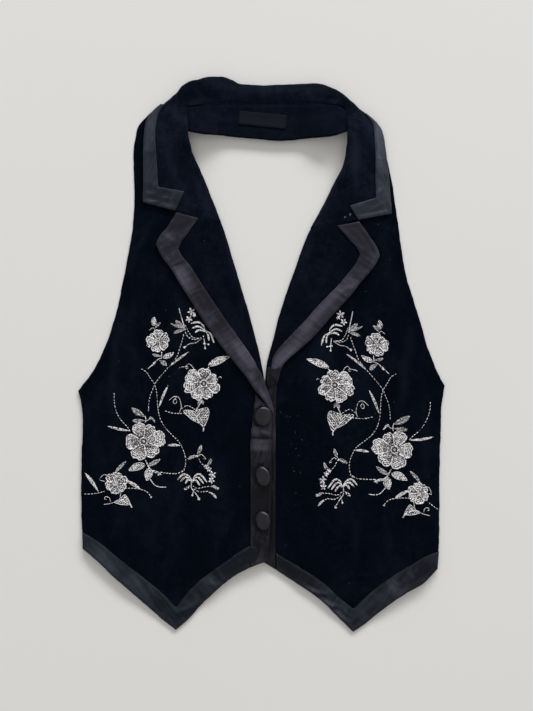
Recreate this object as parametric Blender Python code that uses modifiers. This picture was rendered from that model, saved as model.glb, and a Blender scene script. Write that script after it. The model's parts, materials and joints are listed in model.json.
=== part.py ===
"""An embroidered velvet halter waistcoat, buttoned and laid flat with its outside uppermost.

The ground is z = 0, +X runs to the wearer's left, +Y from the hem to the collar and +Z up.
Tables and sizes are in millimetres, and the meshes are in metres. Each cut piece is an open
sheet at its underside, thickened upwards by a Solidify modifier, so a piece that lies on
another starts one seam gap above it.
"""

import math
from collections import namedtuple

import bpy
from mathutils import Vector

MM = 0.001

# ---- driving dimensions, mm ----

VELVET = 1.6
SATIN = 1.0
LABEL_WALL = 1.0
SEAM_GAP = 0.3
SHELF = VELVET + SEAM_GAP

BACK_TOP = -62.0
BACK_TOP_RISE = 15.0
BACK_LOW = -211.0
BACK_INSET = 2.0
BACK_TOP_FADE = (15.0, 56.0)
BACK_LOW_FADE = (14.0, 50.0)
STRAP_TOP = {"right": 278.8, "left": 268.0}
HEM_SLANT_TOP = -50.0

LAP_HEIGHT = 2.0 * SHELF + SATIN + SEAM_GAP
LAP_RAMP = 42.0
LAP_FULL = 8.0
LAP_LEVEL = 4.0
LAP_TOP_FADE = (-26.0, 34.0)
UNDER_EDGE = -1.7

ROLL_WALL_INSET = 3.6
ROLL_ROUND = 5.0
ROLL_DROP = 0.55
ROLL_END = (-62.0, -44.0)
LAPEL_PUFF = (3.0, 30.0)
CURVE_GAP = 0.45

COLLAR_BULGE = 4.0
COLLAR_LEG = 39.0
COLLAR_CORNER_STEP = {"right": 1.05, "left": 0.92}
COLLAR_LEG_STEP = {"right": 0.98, "left": 0.70}
FRONT_BAND_CLEAR = 0.5

BUTTON_RADIUS = 9.8
BUTTON_FOOT_RADIUS = 8.0
BUTTON_HEIGHT = 5.6
BUTTON_RIM = 1.7
BUTTON_SIDES = 24
BUTTON_PLACES = ((2.6, -70.8), (1.6, -139.1), (1.6, -190.0))

LABEL_LENGTH = 55.0
LABEL_WIDTH = 15.5
LABEL_TILT = -6.0
LABEL_CENTRE = (1.0, 268.6)

# ---- the outline: a row for each height, from the strap down to the hem ----
# out = side edge, in = neck opening above the buttons and front edge beside them

Row = namedtuple("Row", "height right_out right_in left_in left_out")
OUTLINE = (
    Row(278.8, -127.4, -87.0, 98.5, 119.0),
    Row(271.9, -136.0, -85.5, 98.5, 129.5),
    Row(262.7, -142.0, -84.2, 98.4, 135.5),
    Row(253.5, -144.3, -83.4, 98.3, 138.0),
    Row(243.0, -146.6, -83.0, 98.0, 140.2),
    Row(225.9, -147.8, -76.0, 95.6, 144.3),
    Row(207.5, -146.9, -68.4, 88.6, 148.9),
    Row(189.1, -146.6, -60.8, 79.6, 151.6),
    Row(170.7, -146.6, -53.5, 70.4, 154.5),
    Row(152.3, -147.8, -46.6, 60.6, 157.0),
    Row(133.9, -150.1, -40.4, 51.6, 159.5),
    Row(108.6, -154.7, -32.8, 42.2, 162.9),
    Row(85.6, -159.3, -25.9, 34.0, 168.0),
    Row(62.6, -163.9, -19.0, 25.9, 175.2),
    Row(39.6, -169.6, -12.2, 18.9, 182.3),
    Row(16.6, -177.0, -6.4, 13.2, 188.6),
    Row(-6.4, -186.9, -0.8, 7.0, 196.8),
    Row(-22.0, -196.0, 1.6, 4.6, 203.4),
    Row(-36.3, -206.4, 4.2, 4.0, 211.0),
    Row(-42.1, -211.0, 5.8, 2.4, 209.6),
    Row(-57.0, -207.4, 10.4, -0.4, 207.4),
    Row(-72.0, -205.6, 11.8, -1.6, 206.6),
    Row(-98.0, -206.2, 12.1, -1.7, 206.0),
    Row(-132.9, -207.4, 12.1, -1.7, 204.8),
    Row(-178.9, -207.4, 10.8, -1.7, 204.7),
    Row(-207.7, -205.9, 9.2, -1.7, 204.4),
    Row(-223.2, -205.3, 7.8, -1.7, 204.0),
    Row(-246.3, -205.0, 6.6, -1.7, 202.3),
)

# ---- the hem: a row for each place across, from the side seam to the front edge ----
# trim = where the satin band's upper edge runs

Hem = namedtuple("Hem", "across height trim")
RIGHT_HEM = (
    Hem(-205.3, -223.2, -204.0),
    Hem(-188.0, -237.6, -215.0),
    Hem(-169.6, -255.5, -229.8),
    Hem(-143.2, -278.6, -251.2),
    Hem(-121.7, -298.5, -268.0),
    Hem(-98.6, -317.2, -290.9),
    Hem(-84.5, -304.9, -273.5),
    Hem(-66.1, -284.7, -255.8),
    Hem(-47.7, -267.5, -243.2),
    Hem(-30.8, -254.0, -230.0),
    Hem(-12.5, -244.2, -219.2),
    Hem(7.8, -236.4, -212.0),
)
LEFT_HEM = (
    Hem(202.3, -246.3, -226.5),
    Hem(187.7, -261.2, -232.5),
    Hem(167.7, -273.2, -245.0),
    Hem(146.2, -287.6, -258.5),
    Hem(124.5, -305.8, -275.5),
    Hem(105.6, -319.5, -292.8),
    Hem(90.7, -304.9, -281.0),
    Hem(75.3, -289.3, -266.5),
    Hem(56.9, -274.0, -253.0),
    Hem(35.1, -260.1, -239.5),
    Hem(14.5, -246.3, -227.4),
    Hem(-1.7, -236.4, -217.0),
)

# ---- the satin bands down the front edges: a row for each height ----
# edge = the band's inner edge, right over the buttons and left under them

FrontBand = namedtuple("FrontBand", "height right left")
FRONT_BANDS = (
    FrontBand(-34.0, -6.0, 17.6),
    FrontBand(-52.0, -7.4, 16.8),
    FrontBand(-75.0, -10.2, 16.2),
    FrontBand(-100.0, -12.7, 16.2),
    FrontBand(-250.0, -12.7, 16.0),
)
BAND_TOP = {"right": (-44.5, -61.5), "left": (-36.4, -47.5)}
BAND_ABOVE = {"right": -10.2, "left": 13.5}

# ---- the back neck band: a row for each place across, from the right shoulder ----
# low and top = its two edges, low_lift and top_lift = its underside there

NeckBand = namedtuple("NeckBand", "across low top low_lift top_lift")
NECK_BAND = (
    NeckBand(-104.0, 260.5, 276.0, 2.0, 2.0),
    NeckBand(-90.0, 258.3, 277.0, 2.0, 2.0),
    NeckBand(-81.0, 256.5, 281.5, 2.3, 2.6),
    NeckBand(-70.0, 254.6, 285.2, 3.6, 4.6),
    NeckBand(-56.0, 252.6, 285.8, 4.7, 5.3),
    NeckBand(-42.0, 250.8, 286.0, 5.2, 5.5),
    NeckBand(-24.0, 248.6, 285.6, 5.5, 5.5),
    NeckBand(4.0, 246.1, 284.7, 5.6, 5.5),
    NeckBand(27.0, 244.9, 285.0, 5.6, 5.5),
    NeckBand(54.6, 248.2, 285.6, 5.2, 5.5),
    NeckBand(68.0, 250.0, 286.4, 4.6, 5.2),
    NeckBand(80.0, 251.5, 285.6, 3.6, 4.2),
    NeckBand(90.0, 254.0, 282.0, 2.4, 2.6),
    NeckBand(99.0, 257.2, 274.0, 2.0, 2.0),
    NeckBand(112.0, 259.5, 264.5, 2.0, 2.0),
)

# ---- the collar: a row for each section, from the right notch round the neck to the left ----
# out = the edge that shows outermost, in = the rolled edge or neck seam, edge and roll = the
# height of the wall's underside there, foot = where the rolled edge ends, tuck = how much
# cloth turns under at the outer edge

Collar = namedtuple("Collar", "out_x out_y in_x in_y edge roll foot tuck")
COLLAR = (
    Collar(-136.3, 174.8, -45.8, 150.6, 1.9, 3.9, 0.0, 0.0),
    Collar(-136.1, 193.7, -58.5, 183.5, 1.9, 4.8, 0.0, 0.0),
    Collar(-136.0, 214.4, -69.6, 210.0, 1.9, 5.6, 0.0, 0.0),
    Collar(-136.0, 235.1, -79.3, 233.2, 1.9, 6.4, 0.0, 0.0),
    Collar(-135.1, 253.5, -83.4, 250.0, 1.9, 7.0, 4.1, 0.0),
    Collar(-132.2, 268.5, -84.2, 263.8, 2.2, 7.4, 4.1, 0.0),
    Collar(-125.6, 278.9, -85.3, 274.2, 3.0, 7.6, 4.2, 0.0),
    Collar(-115.6, 287.4, -86.2, 280.5, 4.5, 7.4, 4.4, 5.0),
    Collar(-102.9, 296.6, -85.4, 284.6, 6.0, 7.0, 5.4, 9.0),
    Collar(-93.2, 307.6, -80.0, 285.8, 6.8, 6.4, 6.0, 18.0),
    Collar(-79.5, 315.4, -72.0, 286.2, 7.2, 6.0, 5.8, 28.0),
    Collar(-65.2, 319.8, -60.0, 286.5, 7.4, 5.8, 5.6, 36.0),
    Collar(-44.3, 319.5, -43.0, 286.8, 7.4, 5.6, 5.5, 40.0),
    Collar(-25.9, 312.6, -25.0, 286.4, 7.4, 5.6, 5.5, 40.0),
    Collar(4.0, 309.8, 4.0, 285.4, 7.4, 5.6, 5.5, 40.0),
    Collar(35.1, 312.1, 35.0, 285.8, 7.4, 5.6, 5.5, 40.0),
    Collar(57.0, 313.3, 55.0, 286.4, 7.4, 5.8, 5.6, 38.0),
    Collar(77.6, 308.3, 71.0, 287.4, 7.4, 6.0, 5.8, 28.0),
    Collar(96.8, 296.9, 84.0, 287.6, 6.8, 6.4, 6.0, 16.0),
    Collar(108.6, 287.0, 93.2, 285.6, 6.0, 7.0, 5.4, 9.0),
    Collar(120.5, 276.4, 97.4, 279.4, 4.5, 7.4, 4.4, 5.0),
    Collar(131.7, 267.0, 98.0, 270.0, 3.0, 7.6, 4.2, 0.0),
    Collar(138.6, 257.0, 98.7, 258.6, 2.2, 7.4, 4.1, 0.0),
    Collar(141.6, 243.1, 98.2, 243.1, 1.9, 7.0, 4.1, 0.0),
    Collar(143.8, 228.2, 95.9, 227.0, 1.9, 6.4, 0.0, 0.0),
    Collar(146.6, 202.9, 84.9, 200.0, 1.9, 5.6, 0.0, 0.0),
    Collar(148.3, 183.3, 72.6, 175.0, 1.9, 4.8, 0.0, 0.0),
    Collar(149.8, 161.6, 56.0, 144.6, 1.9, 3.9, 0.0, 0.0),
)

# ---- the satin band on the collar: its width at each section, counted from the notch ----

CollarBand = namedtuple("CollarBand", "step right left")
COLLAR_BAND = (
    CollarBand(1.5, 17.0, 16.5),
    CollarBand(2.0, 16.5, 16.0),
    CollarBand(3.0, 15.0, 13.0),
    CollarBand(4.0, 13.2, 11.6),
    CollarBand(5.0, 12.0, 9.5),
    CollarBand(6.0, 8.5, 5.5),
    CollarBand(7.0, 5.0, 3.6),
)

# ---- the lapels: a row for each section, from the gorge seam down to the break ----
# edge = outer edge, trim = where the satin band meets the velvet, fold = rolled edge

Lapel = namedtuple("Lapel", "edge_x edge_y trim_x trim_y fold_height rise")
RIGHT_LAPEL = (
    Lapel(-97.2, 163.2, -72.4, 156.4, 149.6, 2.0),
    Lapel(-109.4, 144.8, -84.4, 139.0, 138.0, 2.1),
    Lapel(-121.6, 126.5, -95.4, 121.2, 124.0, 2.2),
    Lapel(-102.9, 96.4, -82.2, 102.2, 99.0, 2.2),
    Lapel(-82.2, 62.6, -63.2, 72.9, 71.0, 2.1),
    Lapel(-60.4, 29.2, -43.5, 43.4, 43.0, 1.9),
    Lapel(-39.7, 1.0, -25.2, 17.6, 16.0, 1.5),
    Lapel(-17.8, -25.4, -8.4, -7.0, -9.0, 1.0),
    Lapel(-6.6, -42.4, -1.8, -22.0, -28.0, 0.6),
    Lapel(6.0, -55.4, 4.6, -38.0, -47.0, 0.3),
)
LEFT_LAPEL = (
    Lapel(112.1, 152.8, 87.2, 147.8, 143.6, 2.0),
    Lapel(125.4, 134.0, 100.6, 131.8, 131.0, 2.1),
    Lapel(136.2, 113.2, 113.3, 115.5, 115.0, 2.2),
    Lapel(115.6, 84.4, 100.6, 94.8, 94.0, 2.2),
    Lapel(99.5, 64.1, 86.2, 77.5, 75.0, 2.1),
    Lapel(81.9, 45.3, 68.4, 59.7, 57.0, 1.9),
    Lapel(61.3, 21.5, 48.0, 36.6, 35.0, 1.5),
    Lapel(42.0, 3.9, 28.6, 16.6, 14.0, 0.8),
    Lapel(24.6, -12.8, 13.0, -4.0, -14.0, 0.3),
    Lapel(18.3, -34.0, 10.4, -24.0, -40.0, 0.0),
)

# ---- the largest folds: soft ridges, each along a line ----

Fold = namedtuple("Fold", "side x0 y0 x1 y1 rise width")
FOLDS = (
    Fold("right", -164.0, 22.0, -172.0, -70.0, 2.4, 12.0),
    Fold("right", -128.0, 140.0, -148.0, 112.0, 1.6, 10.0),
    Fold("right", -136.0, 96.0, -142.0, 40.0, 1.6, 11.0),
    Fold("right", -132.0, -248.0, -62.0, -246.0, 1.2, 9.0),
    Fold("right", -97.0, -186.0, -97.0, -110.0, 0.9, 9.0),
    Fold("right", -188.0, -240.0, -146.0, -277.0, 4.4, 15.0),
    Fold("right", -52.0, -272.0, -6.0, -240.0, 4.6, 14.0),
    Fold("left", 171.0, 24.0, 160.0, -60.0, 2.4, 12.0),
    Fold("left", 146.0, 140.0, 158.0, 112.0, 1.6, 10.0),
    Fold("left", 146.0, 100.0, 150.0, 46.0, 1.6, 11.0),
    Fold("left", 107.0, -188.0, 107.0, -112.0, 1.4, 9.0),
    Fold("left", 148.0, -290.0, 192.0, -262.0, 6.0, 15.0),
    Fold("left", 44.0, -268.0, 72.0, -290.0, 2.6, 12.0),
)

COLLAR_POINTS = 13
COLLAR_STEPS = 2


# ---- smooth curves through the tables ----

def ramp(low, high, value):
    """0 below low, 1 above high and a soft S between."""
    share = min(1.0, max(0.0, (value - low) / (high - low)))
    return share * share * (3.0 - 2.0 * share)


def mix(first, second, share):
    return first + (second - first) * share


def smooth_curve(knots, values):
    """A curve through the values that never overshoots them (knots rise)."""
    count = len(knots)
    slopes = [(values[i + 1] - values[i]) / (knots[i + 1] - knots[i]) for i in range(count - 1)]
    bends = [slopes[0]]
    for before, after in zip(slopes, slopes[1:]):
        together = before * after > 0.0
        bends.append(2.0 * before * after / (before + after) if together else 0.0)
    bends.append(slopes[-1])

    def at(knot):
        knot = min(knots[-1], max(knots[0], knot))
        i = max(k for k in range(count - 1) if knots[k] <= knot)
        width = knots[i + 1] - knots[i]
        t = (knot - knots[i]) / width
        start = values[i] * (1.0 + 2.0 * t) * (1.0 - t) ** 2 + bends[i] * width * t * (1.0 - t) ** 2
        end = values[i + 1] * t * t * (3.0 - 2.0 * t) + bends[i + 1] * width * t * t * (t - 1.0)
        return start + end

    return at


def table_curve(rows, name, knots=None):
    """A column of a table as a curve, over its row numbers or over the given knots."""
    knots = knots or list(range(len(rows)))
    pairs = sorted(zip(knots, (getattr(row, name) for row in rows)))
    return smooth_curve([knot for knot, _ in pairs], [value for _, value in pairs])


HEIGHTS = [row.height for row in OUTLINE]
EDGE = {name: table_curve(OUTLINE, name, HEIGHTS) for name in Row._fields[1:]}


def hem_curve(rows, name):
    """A line along the hem of one front: two curves that meet at its point."""
    tip = min(range(len(rows)), key=lambda i: rows[i].height)
    parts = []
    for part in (rows[:tip + 1], rows[tip:]):
        parts.append(table_curve(part, name, [row.across for row in part]))
    tip_across = rows[tip].across
    side = math.copysign(1.0, rows[0].across - tip_across)

    def at(across):
        return parts[0](across) if (across - tip_across) * side > 0.0 else parts[1](across)

    return at


HEM_ROWS = {"right": RIGHT_HEM, "left": LEFT_HEM}
HEM_AT = {side: hem_curve(rows, "height") for side, rows in HEM_ROWS.items()}
TRIM_AT = {side: hem_curve(rows, "trim") for side, rows in HEM_ROWS.items()}
BAND_HEIGHTS = [row.height for row in FRONT_BANDS]
FRONT_BAND_AT = {side: table_curve(FRONT_BANDS, side, BAND_HEIGHTS) for side in ("right", "left")}


# ---- heights of the layers ----

def over_back(height):
    """How far the fronts are lifted by the back that lies under them."""
    near, far = BACK_TOP_FADE
    below_top = 1.0 - ramp(BACK_TOP + near, BACK_TOP + far, height)
    near, far = BACK_LOW_FADE
    above_low = ramp(BACK_LOW - far, BACK_LOW - near, height)
    return SHELF * below_top * above_low


def fold_rise(side, x, y):
    """The soft ridges of one front at a place."""
    total = 0.0
    for fold in FOLDS:
        if fold.side != side:
            continue
        run = Vector((fold.x1 - fold.x0, fold.y1 - fold.y0))
        place = Vector((x - fold.x0, y - fold.y0))
        share = place.dot(run) / run.length_squared
        off = (place - run * min(1.0, max(0.0, share))).length
        total += fold.rise * math.exp(-(off / fold.width) ** 2)
    return total


def base(side, x, y):
    """The underside of one front at a place."""
    low = over_back(y) + fold_rise(side, x, y)
    if side == "left":
        return low
    lap_start = min(UNDER_EDGE, EDGE["right_in"](y) - LAP_FULL)
    across = ramp(lap_start - LAP_RAMP, lap_start - LAP_LEVEL, x)
    along = 1.0 - ramp(*LAP_TOP_FADE, y)
    return mix(low, max(low, LAP_HEIGHT), across * along)


# ---- making objects ----

def new_material(name, colour, roughness, sheen):
    material = bpy.data.materials.new(name)
    material.use_nodes = True
    shader = material.node_tree.nodes["Principled BSDF"]
    shader.inputs["Base Color"].default_value = (*colour, 1.0)
    shader.inputs["Roughness"].default_value = roughness
    shader.inputs["Metallic"].default_value = 0.0
    shader.inputs["Sheen Weight"].default_value = sheen
    return material


def add_object(name, mesh, look):
    piece = bpy.data.objects.new(name, mesh)
    PARTS.objects.link(piece)
    mesh.materials.append(new_material(name + "_cloth", *look))
    mesh.shade_smooth()
    mesh.set_sharp_from_angle(angle=math.radians(40.0))
    return piece


def sheet(name, grid, wall, look):
    """A cloth piece: a grid of underside points, thickened upwards."""
    rows = len(grid)
    columns = len(grid[0])
    points = [tuple(value * MM for value in point) for row in grid for point in row]
    faces = []
    for i in range(rows - 1):
        for j in range(columns - 1):
            corner = i * columns + j
            faces.append((corner, corner + 1, corner + columns + 1, corner + columns))
    mesh = bpy.data.meshes.new(name)
    mesh.from_pydata(points, [], faces)
    mesh.update()
    upward = sum(face.normal.z * face.area for face in mesh.polygons)
    if upward < 0.0:
        mesh.flip_normals()
    piece = add_object(name, mesh, look)
    thicken = piece.modifiers.new("wall", "SOLIDIFY")
    thicken.thickness = wall * MM
    thicken.offset = 1.0
    return piece


# ---- fronts and back ----

FRONT_ROWS = (264.0, 252.0, 238.0, 220.0, 200.0, 176.0, 152.0, 128.0, 104.0, 80.0, 56.0, 34.0, 14.0,
              -6.0, -22.0, -36.3, -42.1, -57.0, -74.0, -94.0, -116.0, -140.0)
LOW_ROWS = 4
PANEL_COLUMNS = 12
BAND_SHARES = (0.33, 0.67, 1.0)
HEM_BAND_ROWS = 3


def front_inner(side, height):
    """The front's own inner edge: inside the rolled lapel, or the buttoned edge."""
    edge = EDGE[side + "_in"](height)
    rolled = ramp(*ROLL_END, height)
    return edge + (ROLL_WALL_INSET * rolled) * (-1.0 if side == "right" else 1.0)


def band_line(side, height):
    """Where the front band's inner edge runs, and above it a line beside the neck opening."""
    if height > FRONT_BANDS[0].height:
        return EDGE[side + "_in"](height) + BAND_ABOVE[side]
    return FRONT_BAND_AT[side](height)


def front_heights(side):
    heights = [STRAP_TOP[side], *FRONT_ROWS]
    low = HEM_ROWS[side][0].trim
    return heights + [mix(FRONT_ROWS[-1], low, step / LOW_ROWS) for step in range(1, LOW_ROWS + 1)]


def front_columns(side, height, tip_share):
    """Places across one front: over the panel, then over the band at its inner edge."""
    outer = EDGE[side + "_out"](height)
    line = band_line(side, height)
    places = []
    for column in range(PANEL_COLUMNS + 1):
        share = column / PANEL_COLUMNS
        if share < 0.5:
            share *= tip_share / 0.5
        else:
            share = mix(tip_share, 1.0, share * 2.0 - 1.0)
        places.append(mix(outer, line, share))
    return places + [mix(line, front_inner(side, height), share) for share in BAND_SHARES]


def tip_share(side, height):
    """How far across the panel the hem's point lies."""
    tip = min(HEM_ROWS[side], key=lambda row: row.height).across
    outer = EDGE[side + "_out"](height)
    return (tip - outer) / (band_line(side, height) - outer)


def front_grid(side):
    """Rows run straight across at the strap and slant more and more towards the hem."""
    heights = front_heights(side)
    low = heights[-1]
    low_tip = tip_share(side, low)
    low_columns = front_columns(side, low, low_tip)
    grid = []
    for height in heights:
        slant = ramp(HEM_SLANT_TOP, low * 2.0 - HEM_SLANT_TOP, height) * 2.0
        columns = front_columns(side, height, mix(0.5, low_tip, slant))
        row = []
        for x, low_x in zip(columns, low_columns):
            y = height + slant * (TRIM_AT[side](low_x) - low)
            row.append((x, y, base(side, x, y)))
        grid.append(row)
    for step in range(1, HEM_BAND_ROWS):
        share = step / (HEM_BAND_ROWS - 1.0)
        corner = HEM_ROWS[side][0].height
        height = mix(low, corner, share)
        columns = front_columns(side, height, tip_share(side, height))
        row = []
        for x in columns:
            y = mix(TRIM_AT[side](x), HEM_AT[side](x), share)
            row.append((x, y, base(side, x, y)))
        grid.append(row)
    return grid


def back_grid():
    grid = []
    for step in range(9):
        row = []
        for place in range(9):
            across = place / 4.0 - 1.0
            top = BACK_TOP + BACK_TOP_RISE * abs(across) ** 3
            y = mix(top, BACK_LOW, step / 8.0)
            left = EDGE["right_out"](y) + BACK_INSET
            right = EDGE["left_out"](y) - BACK_INSET
            row.append((mix(left, right, place / 8.0), y, 0.0))
        grid.append(row)
    return grid


# ---- lapels ----

def lapel_curves(rows):
    return {name: table_curve(rows, name) for name in Lapel._fields}


LAPEL = {"right": lapel_curves(RIGHT_LAPEL), "left": lapel_curves(LEFT_LAPEL)}
LAPEL_LAST = len(RIGHT_LAPEL) - 1


def lapel_row(side, step):
    """The outer, trim and fold points of one section of a lapel, in plan."""
    curves = LAPEL[side]
    edge = Vector((curves["edge_x"](step), curves["edge_y"](step)))
    trim = Vector((curves["trim_x"](step), curves["trim_y"](step)))
    height = curves["fold_height"](step)
    fold = Vector((EDGE[side + "_in"](height), height))
    return edge, trim, fold, curves["rise"](step)


def lapel_height(side, place, fold, rise):
    """The underside of a lapel: it lies on the front and puffs up towards its fold."""
    near = 1.0 - ramp(*LAPEL_PUFF, (place - fold).length)
    return base(side, place.x, place.y) + VELVET + CURVE_GAP + rise * near


def lapel_grid(side):
    grid = []
    for half_step in range(2 * LAPEL_LAST + 1):
        edge, _, fold, rise = lapel_row(side, half_step / 2.0)
        inward = (fold - edge).normalized()
        length = (fold - edge).length - VELVET
        rounded = min(ROLL_ROUND, length * 0.4)
        row = []
        for share in (0.0, 0.2, 0.4, 0.6, 0.8, 1.0):
            place = edge + inward * ((length - rounded) * share)
            row.append((place.x, place.y, lapel_height(side, place, fold, rise)))
        top = row[-1][2]
        foot = base(side, fold.x, fold.y) + 0.1
        for angle in (30.0, 60.0, 90.0):
            turn = math.radians(angle)
            place = edge + inward * (length - rounded + rounded * math.sin(turn))
            drop = (top - foot) * ROLL_DROP * (1.0 - math.cos(turn))
            row.append((place.x, place.y, top - drop))
        place = edge + inward * length
        row.append((place.x, place.y, foot))
        grid.append(row)
    return grid


def lapel_band_grid(side):
    grid = []
    for half_step in range(2 * LAPEL_LAST + 1):
        edge, trim, fold, rise = lapel_row(side, half_step / 2.0)
        row = []
        for share in (0.0, 0.5, 1.0):
            place = edge.lerp(trim, share)
            under = lapel_height(side, place, fold, rise)
            row.append((place.x, place.y, under + VELVET + CURVE_GAP))
        grid.append(row)
    return grid


# ---- collar ----

COLLAR_AT = {name: table_curve(COLLAR, name) for name in Collar._fields}
COLLAR_LAST = len(COLLAR) - 1


def collar_path(step):
    """One section of the collar's underside, as (distance inwards, height) pairs."""
    edge = COLLAR_AT["edge"](step)
    roll = COLLAR_AT["roll"](step)
    foot = COLLAR_AT["foot"](step)
    tuck = COLLAR_AT["tuck"](step)
    length = collar_length(step) - VELVET * ramp(0.2, 1.6, roll - foot)
    path = []
    start = 0.0
    if tuck > 1.0:
        middle = (edge + VELVET) / 2.0
        half = (edge - VELVET) / 2.0
        bulge = min(half * 1.3, COLLAR_BULGE)
        start = VELVET + bulge
        path.append((start + tuck, VELVET))
        for turn in range(-90, 91, 20):
            angle = math.radians(turn)
            path.append((start - bulge * math.cos(angle), middle + half * math.sin(angle)))
    rounded = min(ROLL_ROUND, length * 0.3)
    flat_end = length - rounded
    for share in (0.0, 0.15, 0.3, 0.5, 0.7, 0.85, 1.0):
        path.append((mix(start, flat_end, share), mix(edge, roll, ramp(0.0, 1.0, share))))
    drop = roll - foot
    for angle in (30.0, 60.0, 90.0):
        turn = math.radians(angle)
        down = drop * ROLL_DROP * (1.0 - math.cos(turn))
        path.append((flat_end + rounded * math.sin(turn), roll - down))
    path.append((length, foot))
    return path


def collar_length(step):
    run_x = COLLAR_AT["in_x"](step) - COLLAR_AT["out_x"](step)
    run_y = COLLAR_AT["in_y"](step) - COLLAR_AT["out_y"](step)
    return math.hypot(run_x, run_y)


def collar_place(step, inwards):
    """A place in plan on one section, measured from its outer edge."""
    outer = Vector((COLLAR_AT["out_x"](step), COLLAR_AT["out_y"](step)))
    inner = Vector((COLLAR_AT["in_x"](step), COLLAR_AT["in_y"](step)))
    return outer + (inner - outer).normalized() * inwards


def spaced(path, count):
    """The same path with evenly spaced points."""
    runs = [0.0]
    for (x0, z0), (x1, z1) in zip(path, path[1:]):
        runs.append(runs[-1] + math.hypot(x1 - x0, z1 - z0))
    points = []
    for i in range(count):
        goal = runs[-1] * i / (count - 1)
        k = max(n for n in range(len(runs) - 1) if runs[n] <= goal + 1e-9)
        share = (goal - runs[k]) / (runs[k + 1] - runs[k])
        points.append((mix(path[k][0], path[k + 1][0], share), mix(path[k][1], path[k + 1][1], share)))
    return points


def collar_grid():
    grid = []
    for count in range(COLLAR_STEPS * COLLAR_LAST + 1):
        step = count / COLLAR_STEPS
        row = []
        for inwards, height in spaced(collar_path(step), COLLAR_POINTS):
            place = collar_place(step, inwards)
            row.append((place.x, place.y, height))
        grid.append(row)
    return grid


def collar_under(step, inwards):
    """The underside of the collar on top, at a distance inwards from its outer edge."""
    length = collar_length(step) - VELVET
    flat_end = length - min(ROLL_ROUND, length * 0.3)
    share = ramp(0.0, 1.0, inwards / flat_end)
    return mix(COLLAR_AT["edge"](step), COLLAR_AT["roll"](step), share)


def collar_band_grid(side):
    """The band goes along the collar's end, round its corner and up to the shoulder."""
    knots = [row.step for row in COLLAR_BAND]
    width = table_curve(COLLAR_BAND, side, knots)
    lines = []
    for share in (1.0, 0.66, 0.33, 0.0):
        upper_step = mix(COLLAR_CORNER_STEP[side], COLLAR_LEG_STEP[side], share)
        upper = mix(width(knots[0]) + 1.0, COLLAR_LEG + 9.0, share)
        lines.append(((0.0, COLLAR_LEG * share), (upper_step, upper)))
    step = knots[0]
    while step <= knots[-1]:
        lines.append(((step, 0.0), (step, width(step))))
        step += 0.5
    grid = []
    for first, last in lines:
        row = []
        for share in (0.0, 0.5, 1.0):
            step = mix(first[0], last[0], share)
            inwards = mix(first[1], last[1], share)
            along = step if side == "right" else COLLAR_LAST - step
            place = collar_place(along, inwards)
            row.append((place.x, place.y, collar_under(along, inwards) + VELVET + CURVE_GAP))
        grid.append(row)
    return grid


# ---- bands, neck band and label ----

def laid_on(points, wall):
    """Points of a piece that lies on another: the carrier's underside points, moved up."""
    return [(x, y, z + wall + CURVE_GAP) for x, y, z in points]


def front_band_grid(side):
    """The front's own points beside its edge, below a slanted top under the lapel."""
    first, last = BAND_TOP[side]
    top_row = []
    for share in (0.0, *BAND_SHARES):
        y = mix(first, last, share)
        x = mix(band_line(side, y), front_inner(side, y), share)
        top_row.append((x, y, base(side, x, y)))
    rows = [top_row]
    for row in front_grid(side):
        if row[PANEL_COLUMNS][1] < min(first, last) - 8.0:
            rows.append(row[PANEL_COLUMNS:])
    return [laid_on(row, VELVET) for row in rows]


def hem_band_grid(side):
    """The front's own lowest points, up to the front band's side."""
    clear = math.copysign(FRONT_BAND_CLEAR, HEM_ROWS[side][0].across)
    rows = []
    for row in front_grid(side)[-HEM_BAND_ROWS:]:
        points = list(row[:PANEL_COLUMNS + 1])
        x, y, z = points[-1]
        points[-1] = (x + clear, y, z)
        rows.append(laid_on(points, VELVET))
    return rows


NECK = {name: table_curve(NECK_BAND, name, [row.across for row in NECK_BAND])
        for name in NeckBand._fields[1:]}


def neck_band_grid():
    first = NECK_BAND[0].across
    last = NECK_BAND[-1].across
    grid = []
    for step in range(25):
        x = mix(first, last, step / 24.0)
        row = []
        for share in (0.0, 0.25, 0.5, 0.75, 1.0):
            y = mix(NECK["low"](x), NECK["top"](x), share)
            row.append((x, y, mix(NECK["low_lift"](x), NECK["top_lift"](x), share)))
        grid.append(row)
    return grid


def label_grid():
    tilt = math.radians(LABEL_TILT)
    grid = []
    for along in (-0.5, -0.25, 0.0, 0.25, 0.5):
        row = []
        for across in (-0.5, 0.0, 0.5):
            run = LABEL_LENGTH * along
            rise = LABEL_WIDTH * across
            x = LABEL_CENTRE[0] + run * math.cos(tilt) - rise * math.sin(tilt)
            y = LABEL_CENTRE[1] + run * math.sin(tilt) + rise * math.cos(tilt)
            share = (y - NECK["low"](x)) / (NECK["top"](x) - NECK["low"](x))
            lift = mix(NECK["low_lift"](x), NECK["top_lift"](x), share)
            row.append((x, y, lift + VELVET + CURVE_GAP))
        grid.append(row)
    return grid


# ---- buttons ----

def button_mesh():
    """A domed disc's outline, from the top of the dome down and in to its flat foot."""
    dome = BUTTON_HEIGHT - BUTTON_RIM
    outline = [(0.0, BUTTON_HEIGHT)]
    for angle in (72.0, 54.0, 36.0, 18.0, 0.0):
        turn = math.radians(angle)
        outline.append((BUTTON_RADIUS * math.cos(turn), BUTTON_RIM + dome * math.sin(turn)))
    outline += [(BUTTON_RADIUS - 0.5, 0.5), (BUTTON_FOOT_RADIUS, 0.0), (0.0, 0.0)]
    mesh = bpy.data.meshes.new("button")
    points = [(x * MM, 0.0, z * MM) for x, z in outline]
    mesh.from_pydata(points, [(i, i + 1) for i in range(len(points) - 1)], [])
    return mesh


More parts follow.
